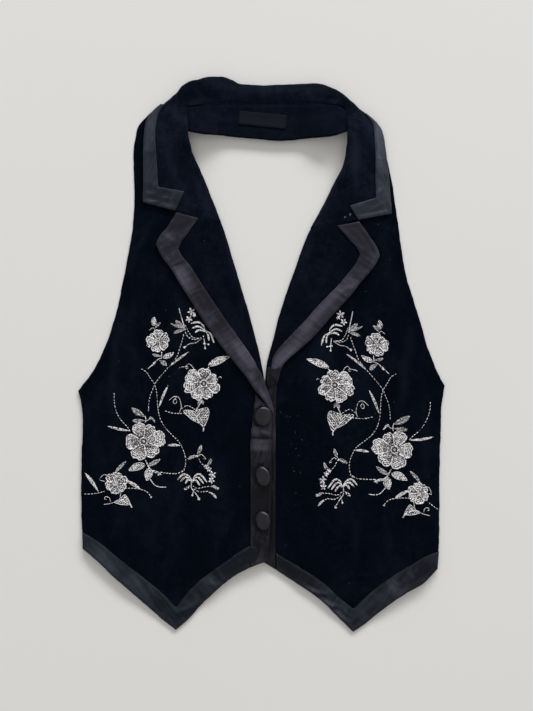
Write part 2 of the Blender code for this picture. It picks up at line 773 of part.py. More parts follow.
def add_button(number, place, look):
    piece = add_object("button_%d" % number, button_mesh(), look)
    x, y = place
    height = max(base("right", x + dx, y) for dx in (-BUTTON_RADIUS, 0.0, BUTTON_RADIUS))
    foot = height + VELVET + SATIN + 2.0 * CURVE_GAP
    piece.location = (x * MM, y * MM, foot * MM)
    turn = piece.modifiers.new("turned", "SCREW")
    turn.angle = math.tau
    turn.steps = BUTTON_SIDES
    turn.render_steps = BUTTON_SIDES
    turn.use_merge_vertices = True
    turn.merge_threshold = 0.00005
    turn.use_smooth_shade = True


def build_all():
    velvet = ((0.004, 0.005, 0.009), 0.9, 0.4)
    satin = ((0.035, 0.033, 0.042), 0.45, 0.0)
    for side in ("right", "left"):
        sheet("front_" + side, front_grid(side), VELVET, velvet)
        sheet("lapel_" + side, lapel_grid(side), VELVET, velvet)
        sheet("lapel_band_" + side, lapel_band_grid(side), SATIN, satin)
        sheet("front_band_" + side, front_band_grid(side), SATIN, satin)
        sheet("hem_band_" + side, hem_band_grid(side), SATIN, satin)
        sheet("collar_band_" + side, collar_band_grid(side), SATIN, satin)
    sheet("back", back_grid(), VELVET, velvet)
    sheet("collar", collar_grid(), VELVET, velvet)
    sheet("neck_band", neck_band_grid(), VELVET, velvet)
    sheet("label", label_grid(), LABEL_WALL, satin)
    for number, place in enumerate(BUTTON_PLACES, 1):
        add_button(number, place, satin)


def clear_scene():
    for piece in list(bpy.data.objects):
        bpy.data.objects.remove(piece, do_unlink=True)


clear_scene()
PARTS = bpy.data.collections.new("embroidered_waistcoat")
bpy.context.scene.collection.children.link(PARTS)
build_all()
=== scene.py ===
# %% [markdown]
# # A velvet waistcoat with silver embroidery, laid flat
# This lesson dresses a set of plain solids as a real garment: a halter-neck waistcoat in
# blue-black velvet, with satin ribbon on every edge, covered buttons and flowers worked in
# silver thread on both fronts. The solids give every place and size. The fine cloth, the
# ribbons, the stitches and the light are made here. Lengths in the tables are millimetres,
# because tailors think in them, and everything that reaches a mesh is in metres.

import json
import math
from collections import namedtuple

import bmesh
import bpy
import numpy as np
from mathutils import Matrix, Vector
from mathutils.bvhtree import BVHTree
from mathutils.geometry import delaunay_2d_cdt

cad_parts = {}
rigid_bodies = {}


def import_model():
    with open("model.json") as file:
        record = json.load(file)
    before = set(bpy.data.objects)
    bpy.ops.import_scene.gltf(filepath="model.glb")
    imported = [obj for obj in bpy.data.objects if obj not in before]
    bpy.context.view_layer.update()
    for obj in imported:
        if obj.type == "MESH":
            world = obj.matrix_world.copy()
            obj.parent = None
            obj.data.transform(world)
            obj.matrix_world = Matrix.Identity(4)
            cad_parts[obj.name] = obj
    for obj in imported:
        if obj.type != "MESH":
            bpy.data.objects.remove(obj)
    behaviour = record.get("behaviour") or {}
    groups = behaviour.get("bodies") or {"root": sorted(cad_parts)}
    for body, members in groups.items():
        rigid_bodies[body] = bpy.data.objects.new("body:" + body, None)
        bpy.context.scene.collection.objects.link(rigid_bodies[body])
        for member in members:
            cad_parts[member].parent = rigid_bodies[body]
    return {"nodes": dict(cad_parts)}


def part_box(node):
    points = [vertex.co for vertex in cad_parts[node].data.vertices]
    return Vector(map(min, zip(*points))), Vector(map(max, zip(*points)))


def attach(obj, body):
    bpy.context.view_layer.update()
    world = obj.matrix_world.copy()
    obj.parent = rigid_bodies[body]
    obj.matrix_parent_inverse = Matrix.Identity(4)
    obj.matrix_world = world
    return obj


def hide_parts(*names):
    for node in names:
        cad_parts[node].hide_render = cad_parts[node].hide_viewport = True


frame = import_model()
bpy.context.view_layer.update()
MM = 0.001

# %% [markdown]
# ## The camera
# The garment lies on a pale surface and is seen from straight above. A long lens held high keeps
# the edges true. The image is taller than it is wide, so Blender's sensor width counts along its
# height, and the camera's own height follows from how many millimetres of table the image takes in.

# %% Camera straight above
IMAGE_HEIGHT_PIXELS = 711
MM_PER_PIXEL = 1.15
LENS = 50.0
SENSOR = 36.0
CAMERA_PLACE = (5.75, -1.3)
CLOTH_LEVEL = 3.0

image_height = IMAGE_HEIGHT_PIXELS * MM_PER_PIXEL
camera_data = bpy.data.cameras.new("camera")
camera_data.lens = LENS
camera_data.sensor_width = SENSOR
camera = bpy.data.objects.new("camera", camera_data)
bpy.context.scene.collection.objects.link(camera)
camera_height = image_height * LENS / SENSOR + CLOTH_LEVEL
camera.location = (CAMERA_PLACE[0] * MM, CAMERA_PLACE[1] * MM, camera_height * MM)
bpy.context.scene.camera = camera
print("camera height in mm:", round(camera_height))

# %% [markdown]
# ## The light
# A broad window beyond the collar gives the soft shadows that fall towards the hem, and the pale
# room fills the rest. One big area light stands for the window and the world colour for the room.
# The floor is one plain plane with the faintest mottling, so that it never looks like a flat fill.

# %% Window, room and floor
WINDOW_DISTANCE = 9.0
WINDOW_ELEVATION = 24.0
WINDOW_AZIMUTH = 14.0
WINDOW_SIZE = (8.0, 2.0)
WINDOW_POWER = 800.0
WINDOW_COLOUR = (0.96, 0.985, 1.015)
ROOM_COLOUR = (0.965, 0.95, 0.94)
ROOM_STRENGTH = 0.54
FLOOR_COLOUR = (0.80, 0.79, 0.765)


def add_window():
    lamp = bpy.data.lights.new("window", "AREA")
    lamp.shape = "RECTANGLE"
    lamp.size, lamp.size_y = WINDOW_SIZE
    lamp.energy = WINDOW_POWER
    lamp.color = WINDOW_COLOUR
    window = bpy.data.objects.new("window", lamp)
    bpy.context.scene.collection.objects.link(window)
    rise = math.radians(WINDOW_ELEVATION)
    turn = math.radians(WINDOW_AZIMUTH)
    towards = Vector((math.sin(turn) * math.cos(rise), math.cos(turn) * math.cos(rise), math.sin(rise)))
    window.location = towards * WINDOW_DISTANCE
    window.rotation_euler = towards.to_track_quat("Z", "Y").to_euler()


def add_room():
    world = bpy.data.worlds.new("room")
    world.use_nodes = True
    background = world.node_tree.nodes["Background"]
    background.inputs["Color"].default_value = (*ROOM_COLOUR, 1.0)
    background.inputs["Strength"].default_value = ROOM_STRENGTH
    bpy.context.scene.world = world
    bpy.context.scene.view_settings.view_transform = "Standard"


add_window()
add_room()
print("window at", WINDOW_ELEVATION, "degrees above the floor")

# %% [markdown]
# ## Small tools for working on arrays
# Everything that follows is shaped by a few curves: a soft step, a bell, a wandering line. Written
# for whole arrays at once, they shape ten thousand points as quickly as one.

# %% Curves for arrays
WAVES = 5
FAR = 1e9
TINY = 1e-9


def soft_step(share):
    share = np.clip(share, 0.0, 1.0)
    return share * share * (3.0 - 2.0 * share)


def bell(distance, width):
    return np.exp(-((distance / width) ** 2))


def wander(along, length, seed):
    """A slow wave that never repeats exactly, from -1 to 1."""
    turn = along * 2.0 * math.pi / length
    first = np.sin(turn + 1.7 * seed)
    second = np.sin(1.63 * turn + 2.9 * seed + 1.0)
    third = np.sin(2.71 * turn + 4.3 * seed + 2.0)
    return 0.5 * first + 0.3 * second + 0.2 * third


def undulation(x, y, length, seed):
    """Slow hills and hollows over the plane, from -1 to 1."""
    total = np.zeros_like(x)
    for step in range(WAVES):
        turn = seed * 1.3 + step * 1.257
        across = x * math.cos(turn) + y * math.sin(turn)
        total = total + np.sin(across * 2.0 * math.pi / (length * (1.0 + 0.23 * step)) + seed + step * step)
    return total / WAVES


def arc_lengths(points):
    steps = np.hypot(*np.diff(points[:, :2], axis=0).T)
    return np.concatenate([[0.0], np.cumsum(steps)])


def at_stations(line, lengths, stations):
    """The places that lie so far along a line."""
    return np.column_stack([np.interp(stations, lengths, column) for column in line.T])


def resample(points, step):
    """The same line with points an even step apart."""
    lengths = arc_lengths(points)
    count = max(2, int(round(lengths[-1] / step)) + 1)
    return at_stations(points, lengths, np.linspace(0.0, lengths[-1], count))


def pairs(row):
    """A flat row of numbers as places: x, y, x, y and so on."""
    return np.array(row, float).reshape(-1, 2)


def polar(turns, reach):
    """Places round nought, from their angles and how far out they lie."""
    return np.column_stack([np.cos(turns), np.sin(turns)]) * np.reshape(reach, (-1, 1))


def left_of(ahead):
    """For each direction, a step of length one to its left."""
    return np.column_stack([-ahead[:, 1], ahead[:, 0]]) / np.maximum(np.hypot(*ahead.T), TINY)[:, None]


def inward_of(loop):
    """For each point of a counter-clockwise loop, a step of length one towards its inside."""
    return left_of(np.roll(loop, -1, 0) - np.roll(loop, 1, 0))


def smooth_line(points, step=1.0, closed=False):
    """A Catmull-Rom curve through the points, at an even step."""
    points = np.asarray(points, float)
    if closed:
        padded = np.vstack([points[-1:], points, points[:2]])
    else:
        padded = np.vstack([2 * points[0] - points[1], points, 2 * points[-1] - points[-2]])
    parts = []
    for before, start, end, after in zip(padded, padded[1:], padded[2:], padded[3:]):
        count = max(2, int(math.ceil(math.hypot(*(end - start)[:2]) / step)) + 1)
        share = np.linspace(0.0, 1.0, count)[:, None]
        pull_in = 0.5 * (end - before)
        pull_out = 0.5 * (after - start)
        parts.append(((2 * share**3 - 3 * share**2 + 1) * start + (share**3 - 2 * share**2 + share) * pull_in
                      + (-2 * share**3 + 3 * share**2) * end + (share**3 - share**2) * pull_out)[:-1])
    if closed:
        return resample(np.vstack(parts + [points[:1]]), step)[:-1]
    return resample(np.vstack(parts + [points[-1:]]), step)


def nearest_on_side(x, y, start, step):
    """Where along a side each point comes nearest to it, from 0 to 1, and the gap there, squared."""
    size = max(step[0] ** 2 + step[1] ** 2, TINY**2)
    share = np.clip(((x - start[0]) * step[0] + (y - start[1]) * step[1]) / size, 0.0, 1.0)
    return share, (x - start[0] - share * step[0]) ** 2 + (y - start[1] - share * step[1]) ** 2


def distance_to_line(x, y, line):
    """Distance from each point to an open line, and how far along the line the nearest place is."""
    best, along = np.full(x.shape, FAR), np.zeros(x.shape)
    lengths = arc_lengths(line)
    for start, end, reached in zip(line, line[1:], lengths):
        share, gap = nearest_on_side(x, y, start, end - start)
        nearer = gap < best
        best = np.where(nearer, gap, best)
        along = np.where(nearer, reached + share * math.hypot(*(end - start)[:2]), along)
    return np.sqrt(best), along / lengths[-1]


print("curves ready; a bell one width out is", round(float(bell(np.array(1.0), 1.0)), 3))

# %% [markdown]
# ## Reading a solid's outline from above
# Each cloth panel is cut to the outline of its solid, seen from above. The faces that look upwards
# are gathered, the largest patch is kept, and the edges round it are followed in order. Slivers of
# triangles can make that path double back on itself, so they are turned first, and any point
# where the path still reverses is dropped.

# %% Plan outlines
SLIVER = 0.35
FACING_UP = 0.25
REVERSAL = 150.0
JOG_LENGTH = 3.5
JOG_TURN = 50.0
JOINED = 0.01
TURNING_ROUNDS = 4
FEWEST_POINTS = 8
SHORTEST_STEP = 0.05


def in_order(parts):
    """Mesh parts by number, so that every run walks them alike."""
    return sorted(parts, key=lambda part: part.index)


def longest_edge(face):
    return max(face.edges, key=lambda edge: edge.calc_length())


def is_sliver(face):
    return 2.0 * face.calc_area() < SLIVER * longest_edge(face).calc_length()


def solid_mesh(node):
    """The solid's mesh in millimetres, with its doubled corners joined and slivers turned."""
    mesh = bmesh.new()
    mesh.from_mesh(frame["nodes"][node].data)
    bmesh.ops.scale(mesh, vec=(1.0 / MM,) * 3, verts=mesh.verts)
    bmesh.ops.remove_doubles(mesh, verts=mesh.verts, dist=JOINED)
    for _ in range(TURNING_ROUNDS):
        mesh.edges.index_update()
        longest = {longest_edge(face) for face in mesh.faces if is_sliver(face)}
        if longest:
            bmesh.ops.rotate_edges(mesh, edges=in_order(longest), use_ccw=False)
    mesh.edges.index_update()
    mesh.normal_update()
    return mesh


def patch_from(face, waiting):
    patch = {face}
    todo = [face]
    while todo:
        for edge in todo.pop().edges:
            for other in edge.link_faces:
                if other in waiting:
                    waiting.discard(other)
                    patch.add(other)
                    todo.append(other)
    return patch


def patch_size(patch):
    return sum(face.calc_area() * face.normal.z * (face.calc_center_median().z + 1.0) for face in patch)


def turns_of(loop):
    ahead = np.roll(loop, -1, 0) - loop
    heading = np.arctan2(ahead[:, 1], ahead[:, 0])
    return np.degrees((heading - np.roll(heading, 1) + math.pi) % (2.0 * math.pi) - math.pi)


def signed_area(loop):
    after = np.roll(loop, -1, 0)
    return 0.5 * float(np.sum(loop[:, 0] * after[:, 1] - loop[:, 1] * after[:, 0]))


def without_reversals(loop):
    """Drops points where the path doubles back, and evens out short sideways jogs."""
    while len(loop) > FEWEST_POINTS:
        steps = np.hypot(*(np.roll(loop, -1, 0) - loop).T)
        turns = turns_of(loop)
        bad = np.where((np.abs(turns) > REVERSAL) | (steps < SHORTEST_STEP))[0]
        after = np.roll(turns, -1)
        sharp = np.minimum(np.abs(turns), np.abs(after)) > JOG_TURN
        jogs = np.where(sharp & (turns * after < 0.0) & (steps < JOG_LENGTH))[0]
        if len(jogs):
            place = jogs[0]
            loop[place] = 0.5 * (loop[place] + loop[(place + 1) % len(loop)])
            loop = np.delete(loop, (place + 1) % len(loop), 0)
        elif len(bad):
            loop = np.delete(loop, bad[0], 0)
        else:
            break
    return loop


def plan_outline(node):
    """The outline of the solid's upper side seen from above, counter-clockwise, in millimetres."""
    mesh = solid_mesh(node)
    waiting = {face for face in mesh.faces if face.normal.z > FACING_UP and not is_sliver(face)}
    patches = []
    while waiting:
        patches.append(patch_from(waiting.pop(), waiting))
    patch = max(patches, key=patch_size)
    beside = {}
    for edge in in_order({edge for face in patch for edge in face.edges}):
        if sum(other in patch for other in edge.link_faces) == 1:
            for corner in edge.verts:
                beside.setdefault(corner, []).append(edge.other_vert(corner))
    loops = []
    unseen = dict.fromkeys(in_order(beside))
    while unseen:
        current = next(iter(unseen))
        loop = []
        while current is not None:
            unseen.pop(current)
            loop.append((current.co.x, current.co.y))
            current = next((other for other in beside[current] if other in unseen), None)
        loops.append(np.array(loop))
    mesh.free()
    loop = max(loops, key=lambda points: abs(signed_area(points)))
    if signed_area(loop) > 0:
        loop = np.roll(loop[::-1], 1, 0)
    return without_reversals(loop)[::-1]


NECK_BAND_CUT = pairs((
    -106, 262, -90, 258.3, -70, 254.6, -42, 250.8, -24, 248.6, 4, 246.1, 27, 244.9, 54.6, 248.2, 80, 251.5,
    99, 257.2, 114, 261, 112, 269, 104, 277, 94, 286, 86, 289, 54, 289, 4, 288, -42, 289, -78, 289,
    -90, 287, -98, 281,
))
OUTLINES = {node: plan_outline(node) for node in sorted(frame["nodes"]) if not node.startswith("button")}
OUTLINES["neck_band"] = NECK_BAND_CUT

# The right lapel's ribbon runs on past its solid, in a tail that ends at the first button.
RIBBON_TAIL = pairs((
    -0.3, -49.3, 5.8, -57, 11.2, -65.1, 14.1, -70.3, 14, -63.4, 11.3, -53, 7.5, -42.1, 3.8, -31.7,
    0.3, -23.1,
))
TAIL_START = (-6.0, -21.0)
ribbon = OUTLINES["lapel_band_right"]
at_tip = (ribbon[:, 0] > TAIL_START[0]) & (ribbon[:, 1] < TAIL_START[1])
ribbon = np.roll(ribbon, -int(np.where(at_tip & ~np.roll(at_tip, -1))[0][0]) - 1, 0)
OUTLINES["lapel_band_right"] = np.vstack([ribbon[:len(ribbon) - int(at_tip.sum())], RIBBON_TAIL])
for node, loop in OUTLINES.items():
    print(node, len(loop), "points", round(signed_area(loop) / 100.0), "square cm")

# %% [markdown]
# ## Reading heights
# Rays sent straight down, and straight up from below, give the height of each solid's two sides
# on a fine raster. A blur that ignores the empty cells smooths the flat triangles away and also
# carries the heights a little past the edge, so that a cloth edge never meets a cliff.

# %% Height rasters
RASTER_STEP = 1.5
RASTER_MARGIN = 12.0
STEEP = 0.80
FAINT = 1e-6
FOOT_REACH = 4
FOOT_BLUR = 3.0
ABOVE_ALL = 60.0
BELOW_ALL = -20.0
Raster = namedtuple("Raster", "x0 y0 values")
Heights = namedtuple("Heights", "top under foot")


def blur_axis(values, sigma, axis):
    reach = int(math.ceil(3.0 * sigma))
    padding = [(reach, reach) if place == axis else (0, 0) for place in range(2)]
    padded = np.pad(values, padding)
    size = values.shape[axis]
    total = np.zeros_like(values)
    for shift in range(-reach, reach + 1):
        share = math.exp(-0.5 * (shift / sigma) ** 2)
        total += share * np.take(padded, range(reach + shift, reach + shift + size), axis=axis)
    return total


def blur_both(values, sigma):
    return blur_axis(blur_axis(values, sigma, 0), sigma, 1)


def blur_known(values, known, blur):
    """A blur that only counts the known cells, and fills the unknown ones from their neighbours."""
    sigma = blur / RASTER_STEP
    counted, kept = known.astype(float), np.where(known, values, 0.0)
    weight = blur_both(counted, sigma)
    filled = blur_both(kept, sigma) / np.maximum(weight, TINY)
    if float(weight.min()) < FAINT:
        wide = blur_both(kept, 4 * sigma) / np.maximum(blur_both(counted, 4 * sigma), FAINT**2)
        filled = np.where(weight < FAINT, wide, filled)
    return filled


def lowest_nearby(values, known, reach):
    """The lowest known height within so many cells."""
    padded = np.pad(np.where(known, values, FAR), reach, constant_values=FAR)
    best = np.full(values.shape, FAR)
    for down in range(2 * reach + 1):
        for across in range(2 * reach + 1):
            best = np.minimum(best, padded[down:down + values.shape[0], across:across + values.shape[1]])
    return best


def read_heights(node, blur):
    mesh = solid_mesh(node)
    tree = BVHTree.FromBMesh(mesh)
    mesh.free()
    low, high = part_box(node)
    x0 = low.x / MM - RASTER_MARGIN
    y0 = low.y / MM - RASTER_MARGIN
    columns = int((high.x / MM + RASTER_MARGIN - x0) / RASTER_STEP) + 2
    rows = int((high.y / MM + RASTER_MARGIN - y0) / RASTER_STEP) + 2
    shape = (rows, columns)
    top, under = np.zeros(shape), np.zeros(shape)
    hit, level_top, level_under = np.zeros(shape, bool), np.zeros(shape, bool), np.zeros(shape, bool)
    down, up = Vector((0.0, 0.0, -1.0)), Vector((0.0, 0.0, 1.0))
    for row in range(rows):
        for column in range(columns):
            x, y = x0 + column * RASTER_STEP, y0 + row * RASTER_STEP
            place, normal, _, _ = tree.ray_cast(Vector((x, y, ABOVE_ALL)), down)
            if place is not None:
                hit[row, column] = True
                top[row, column] = place.z
                level_top[row, column] = abs(normal.z) > STEEP
                place, normal, _, _ = tree.ray_cast(Vector((x, y, BELOW_ALL)), up)
                under[row, column] = place.z
                level_under[row, column] = abs(normal.z) > STEEP
    foot = lowest_nearby(under, hit, FOOT_REACH)
    rasters = (blur_known(top, hit & level_top, blur), blur_known(under, hit & level_under, blur),
               blur_known(foot, foot < FAR, FOOT_BLUR))
    return Heights(*[Raster(x0, y0, values) for values in rasters])


def sample(raster, x, y):
    """The raster's height at each point, read between its cells."""
    across = np.clip((x - raster.x0) / RASTER_STEP, 0.0, raster.values.shape[1] - 1.001)
    down = np.clip((y - raster.y0) / RASTER_STEP, 0.0, raster.values.shape[0] - 1.001)
    column, row = across.astype(int), down.astype(int)
    right, upper = across - column, down - row
    values = raster.values
    lower_row = values[row, column] * (1 - right) + values[row, column + 1] * right
    upper_row = values[row + 1, column] * (1 - right) + values[row + 1, column + 1] * right
    return lower_row * (1 - upper) + upper_row * upper


THIN_BLUR = 3.0
HEIGHT_BLUR = {"front_right": 5.0, "front_left": 5.0, "back": 6.0, "collar": 4.5, "neck_band": 4.0,
               "lapel_right": 4.0, "lapel_left": 4.0}
HEIGHTS = {node: read_heights(node, HEIGHT_BLUR.get(node, THIN_BLUR)) for node in OUTLINES}
for node, heights in HEIGHTS.items():
    middle = OUTLINES[node].mean(0)
    print(node, "top near its middle:", round(float(sample(heights.top, *middle[:, None])[0]), 1))

# %% [markdown]
# ## Creases and soft folds
# No cloth lies dead flat. These tables hold the folds that give this garment its character: each is
# a line through a few places, with a height, a width and how it dies away at its ends. Velvet
# bends in broad soft ridges, satin in narrow ones. Slow hills are added to all of it.

# %% Fold tables
Fold = namedtuple("Fold", "rise width points")


def fold_rows(table):
    """Each row of a table is a rise, a width and the places that the fold runs through: x, y, x, y."""
    return {node: [Fold(rise, width, pairs(places)) for rise, width, *places in rows]
            for node, rows in table.items()}


FOLDS = fold_rows({
    "front_right": (
        (1.9, 9, -159, 36, -166, 8, -171, -24, -173, -66), (1.2, 5.5, -116, 150, -134, 128, -150, 116),
        (1, 4.5, -122, 156, -141, 139, -156, 130), (-0.9, 7, -146, 96, -150, 60, -158, 30),
        (0.7, 6, -134, -248, -104, -244, -62, -246), (-0.6, 5, -132, -240, -100, -237, -70, -239),
        (1, 5, -97, -192, -98, -160, -96, -112), (-0.6, 4, -92, -186, -92, -150, -91, -118),
        (0.8, 10, -60, 30, -78, 6, -104, -14), (0.7, 9, -190, -120, -160, -136, -130, -140),
        (-0.7, 12, -196, -170, -168, -182, -140, -206), (0.9, 8, -30, -92, -52, -100, -74, -98),
        (0.6, 7, -24, -150, -48, -162, -70, -160),
    ),
    "front_left": (
        (1.9, 9, 170, 24, 164, -10, 160, -62), (1.3, 4.5, 107, -188, 108, -214, 107, -244),
        (-0.8, 4, 112, -186, 113, -212, 112, -240), (1, 6, 118, 142, 138, 118, 158, 104),
        (-0.8, 7, 150, 92, 156, 56, 166, 30), (0.8, 9, 66, 24, 86, 2, 112, -12),
        (0.7, 10, 196, -110, 166, -130, 134, -138), (-0.7, 11, 198, -176, 170, -190, 146, -214),
        (0.8, 6, 28, -84, 44, -100, 58, -124), (0.6, 7, 30, -178, 52, -170, 76, -176),
        (0.7, 6, 60, -250, 96, -258, 140, -252),
    ),
    "collar": (
        (1, 3.2, -98, 208, -112, 190, -132, 183, -146, 186),
        (0.8, 3, -92, 198, -106, 181, -126, 174, -138, 177), (0.7, 5, -104, 246, -108, 222, -100, 196),
        (1.1, 4.5, 107.5, 250, 107.5, 214, 108, 180), (0.9, 4, 106, 272, 114, 256, 125, 242),
        (-0.7, 5, 100, 236, 98, 214, 88, 190), (0.9, 3.2, -40, 317, -34, 305, -37, 290),
        (0.8, 2.8, -22, 312, -20, 302, -25, 291), (-0.7, 3, -29, 314, -27, 304, -30, 292),
        (0.7, 3.5, 0, 309, -3, 299, 1, 289), (0.9, 3, 14, 310, 18, 301, 15, 289),
        (0.8, 3, 31, 312, 30, 303, 36, 291), (-0.7, 3, 24, 311, 23, 300, 26, 290),
        (0.9, 3.4, 52, 313, 49, 303, 53, 290), (0.9, 4, -60, 318, -56, 306, -62, 291),
        (0.8, 4.5, -84, 311, -76, 300, -78, 290), (0.8, 4.5, 84, 303, 76, 297, 72, 290),
    ),
    "neck_band": (
        (0.8, 4, -78, 281, -60, 276, -38, 277), (-0.5, 4, -72, 268, -50, 262, -26, 262),
        (0.6, 4.5, 44, 274, 62, 270, 82, 274), (0.5, 5, -20, 256, 10, 254, 40, 255),
    ),
    "lapel_right": (
        (0.9, 5, -46, 128, -62, 122, -78, 124), (0.7, 6, -34, 86, -54, 84, -70, 92),
        (-0.6, 6, -30, 62, -42, 62, -56, 70), (0.7, 5, -58, 146, -66, 136, -84, 128),
    ),
    "lapel_left": (
        (0.9, 5, 54, 122, 74, 116, 92, 120), (0.7, 6, 44, 86, 62, 80, 84, 88),
        (-0.6, 6, 36, 60, 52, 56, 68, 64), (0.6, 5, 66, 138, 76, 128, 96, 124),
    ),
    "back": (
        (1.2, 14, -150, -90, -60, -110, 40, -100, 150, -120), (-0.8, 12, -130, -150, -20, -140, 120, -160),
    ),
    "lapel_band_right": (
        (0.9, 3, -92, 118, -98, 111, -108, 106), (-0.5, 2.6, -88, 112, -94, 105, -102, 101),
        (0.8, 3.4, -68, 74, -76, 72, -84, 66), (-0.5, 4, -58, 62, -64, 56, -72, 50),
        (0.6, 3.6, -36, 30, -44, 26, -50, 18), (0.7, 3, -84, 158, -94, 150, -104, 150),
    ),
    "lapel_band_left": (
        (0.9, 2.8, 88, 82, 96, 78, 106, 74), (0.8, 2.6, 84, 74, 92, 71, 98, 64),
        (-0.5, 3, 96, 92, 104, 88, 114, 84), (0.6, 3.6, 54, 42, 62, 38, 68, 30),
        (0.7, 3.4, 104, 124, 116, 120, 128, 122), (0.5, 3, 32, 16, 38, 12, 44, 6),
    ),
    "collar_band_right": (
        (0.7, 3, -134, 200, -124, 194, -112, 190, -96, 190),
        (0.7, 2.6, -136, 187, -124, 183, -106, 178, -94, 178), (0.5, 3, -135, 236, -128, 232, -120, 236),
    ),
    "collar_band_left": (
        (0.8, 3, 146, 196, 138, 188, 124, 180, 108, 166), (0.6, 2.6, 148, 176, 138, 172, 124, 164),
        (0.5, 3, 143, 228, 137, 224, 132, 228),
    ),
    "front_band_right": (
        (1.3, 3, -10, -80, -4, -88, 6, -93), (0.9, 2.4, 4, -90, 12, -92),
        (-0.7, 5, -10, -104, 2, -106, 12, -104), (0.7, 3.5, -12, -122, -2, -124, 12, -120),
        (0.9, 3, -10, -202, 0, -208, 10, -214), (0.8, 2.6, -8, -212, 2, -218, 9, -222),
        (-0.5, 5, -11, -166, 0, -164, 12, -166), (-1.3, 1.9, -2, -60, -7, -64, -9, -71, -7, -78, -1, -83),
        (-1.4, 1.9, 0, -128, -6, -131, -9, -138, -6, -147, 1, -151),
        (-1.2, 1.9, -1, -180, -6, -184, -8, -190, -5, -197, 1, -201),
    ),
    "front_band_left": (
        (0.6, 3, 8, -92, 13, -96, 17, -104), (0.6, 3, 8, -160, 13, -166, 17, -170),
    ),
    "hem_band_right": (
        (1, 3.4, -76, -262, -72, -270, -62, -276), (1, 3.4, -66, -256, -58, -262, -50, -264),
        (0.8, 3.4, -100, -296, -92, -302, -96, -310), (0.7, 3.4, -130, -266, -126, -276, -132, -284),
        (0.7, 3.4, -164, -240, -160, -248, -164, -254), (0.6, 3, -30, -234, -26, -240, -28, -248),
        (-0.5, 4, -48, -246, -42, -252, -44, -262),
    ),
    "hem_band_left": (
        (1.1, 3.2, 62, -262, 70, -270, 80, -282), (1, 3, 72, -268, 80, -276, 88, -288),
        (1, 3.2, 90, -284, 98, -298, 106, -304), (0.9, 3.4, 148, -256, 154, -264, 160, -272),
        (0.7, 3, 166, -250, 172, -256, 178, -262), (0.7, 3.2, 32, -242, 36, -250, 34, -258),
        (0.6, 3.2, 118, -282, 124, -290, 126, -300), (0.6, 3.2, 188, -236, 192, -244, 196, -250),
    ),
})


def fold_height(node, x, y):
    """The height that the node's folds add at each point, in millimetres."""
    total = np.zeros(x.shape)
    for number, fold in enumerate(FOLDS.get(node, ())):
        line = smooth_line(fold.points, 3.0)
        distance, along = distance_to_line(x, y, line)
        strength = np.sin(math.pi * np.clip(along, 0.02, 0.98)) ** 0.6
        strength = strength * (1.0 + 0.25 * np.sin(9.0 * along + number))
        width = fold.width * (0.85 + 0.3 * np.sin(4.0 * along + 1.3 * number))
        total = total + fold.rise * strength * bell(distance, width)
    return total


print("folds in all:", sum(len(folds) for folds in FOLDS.values()))
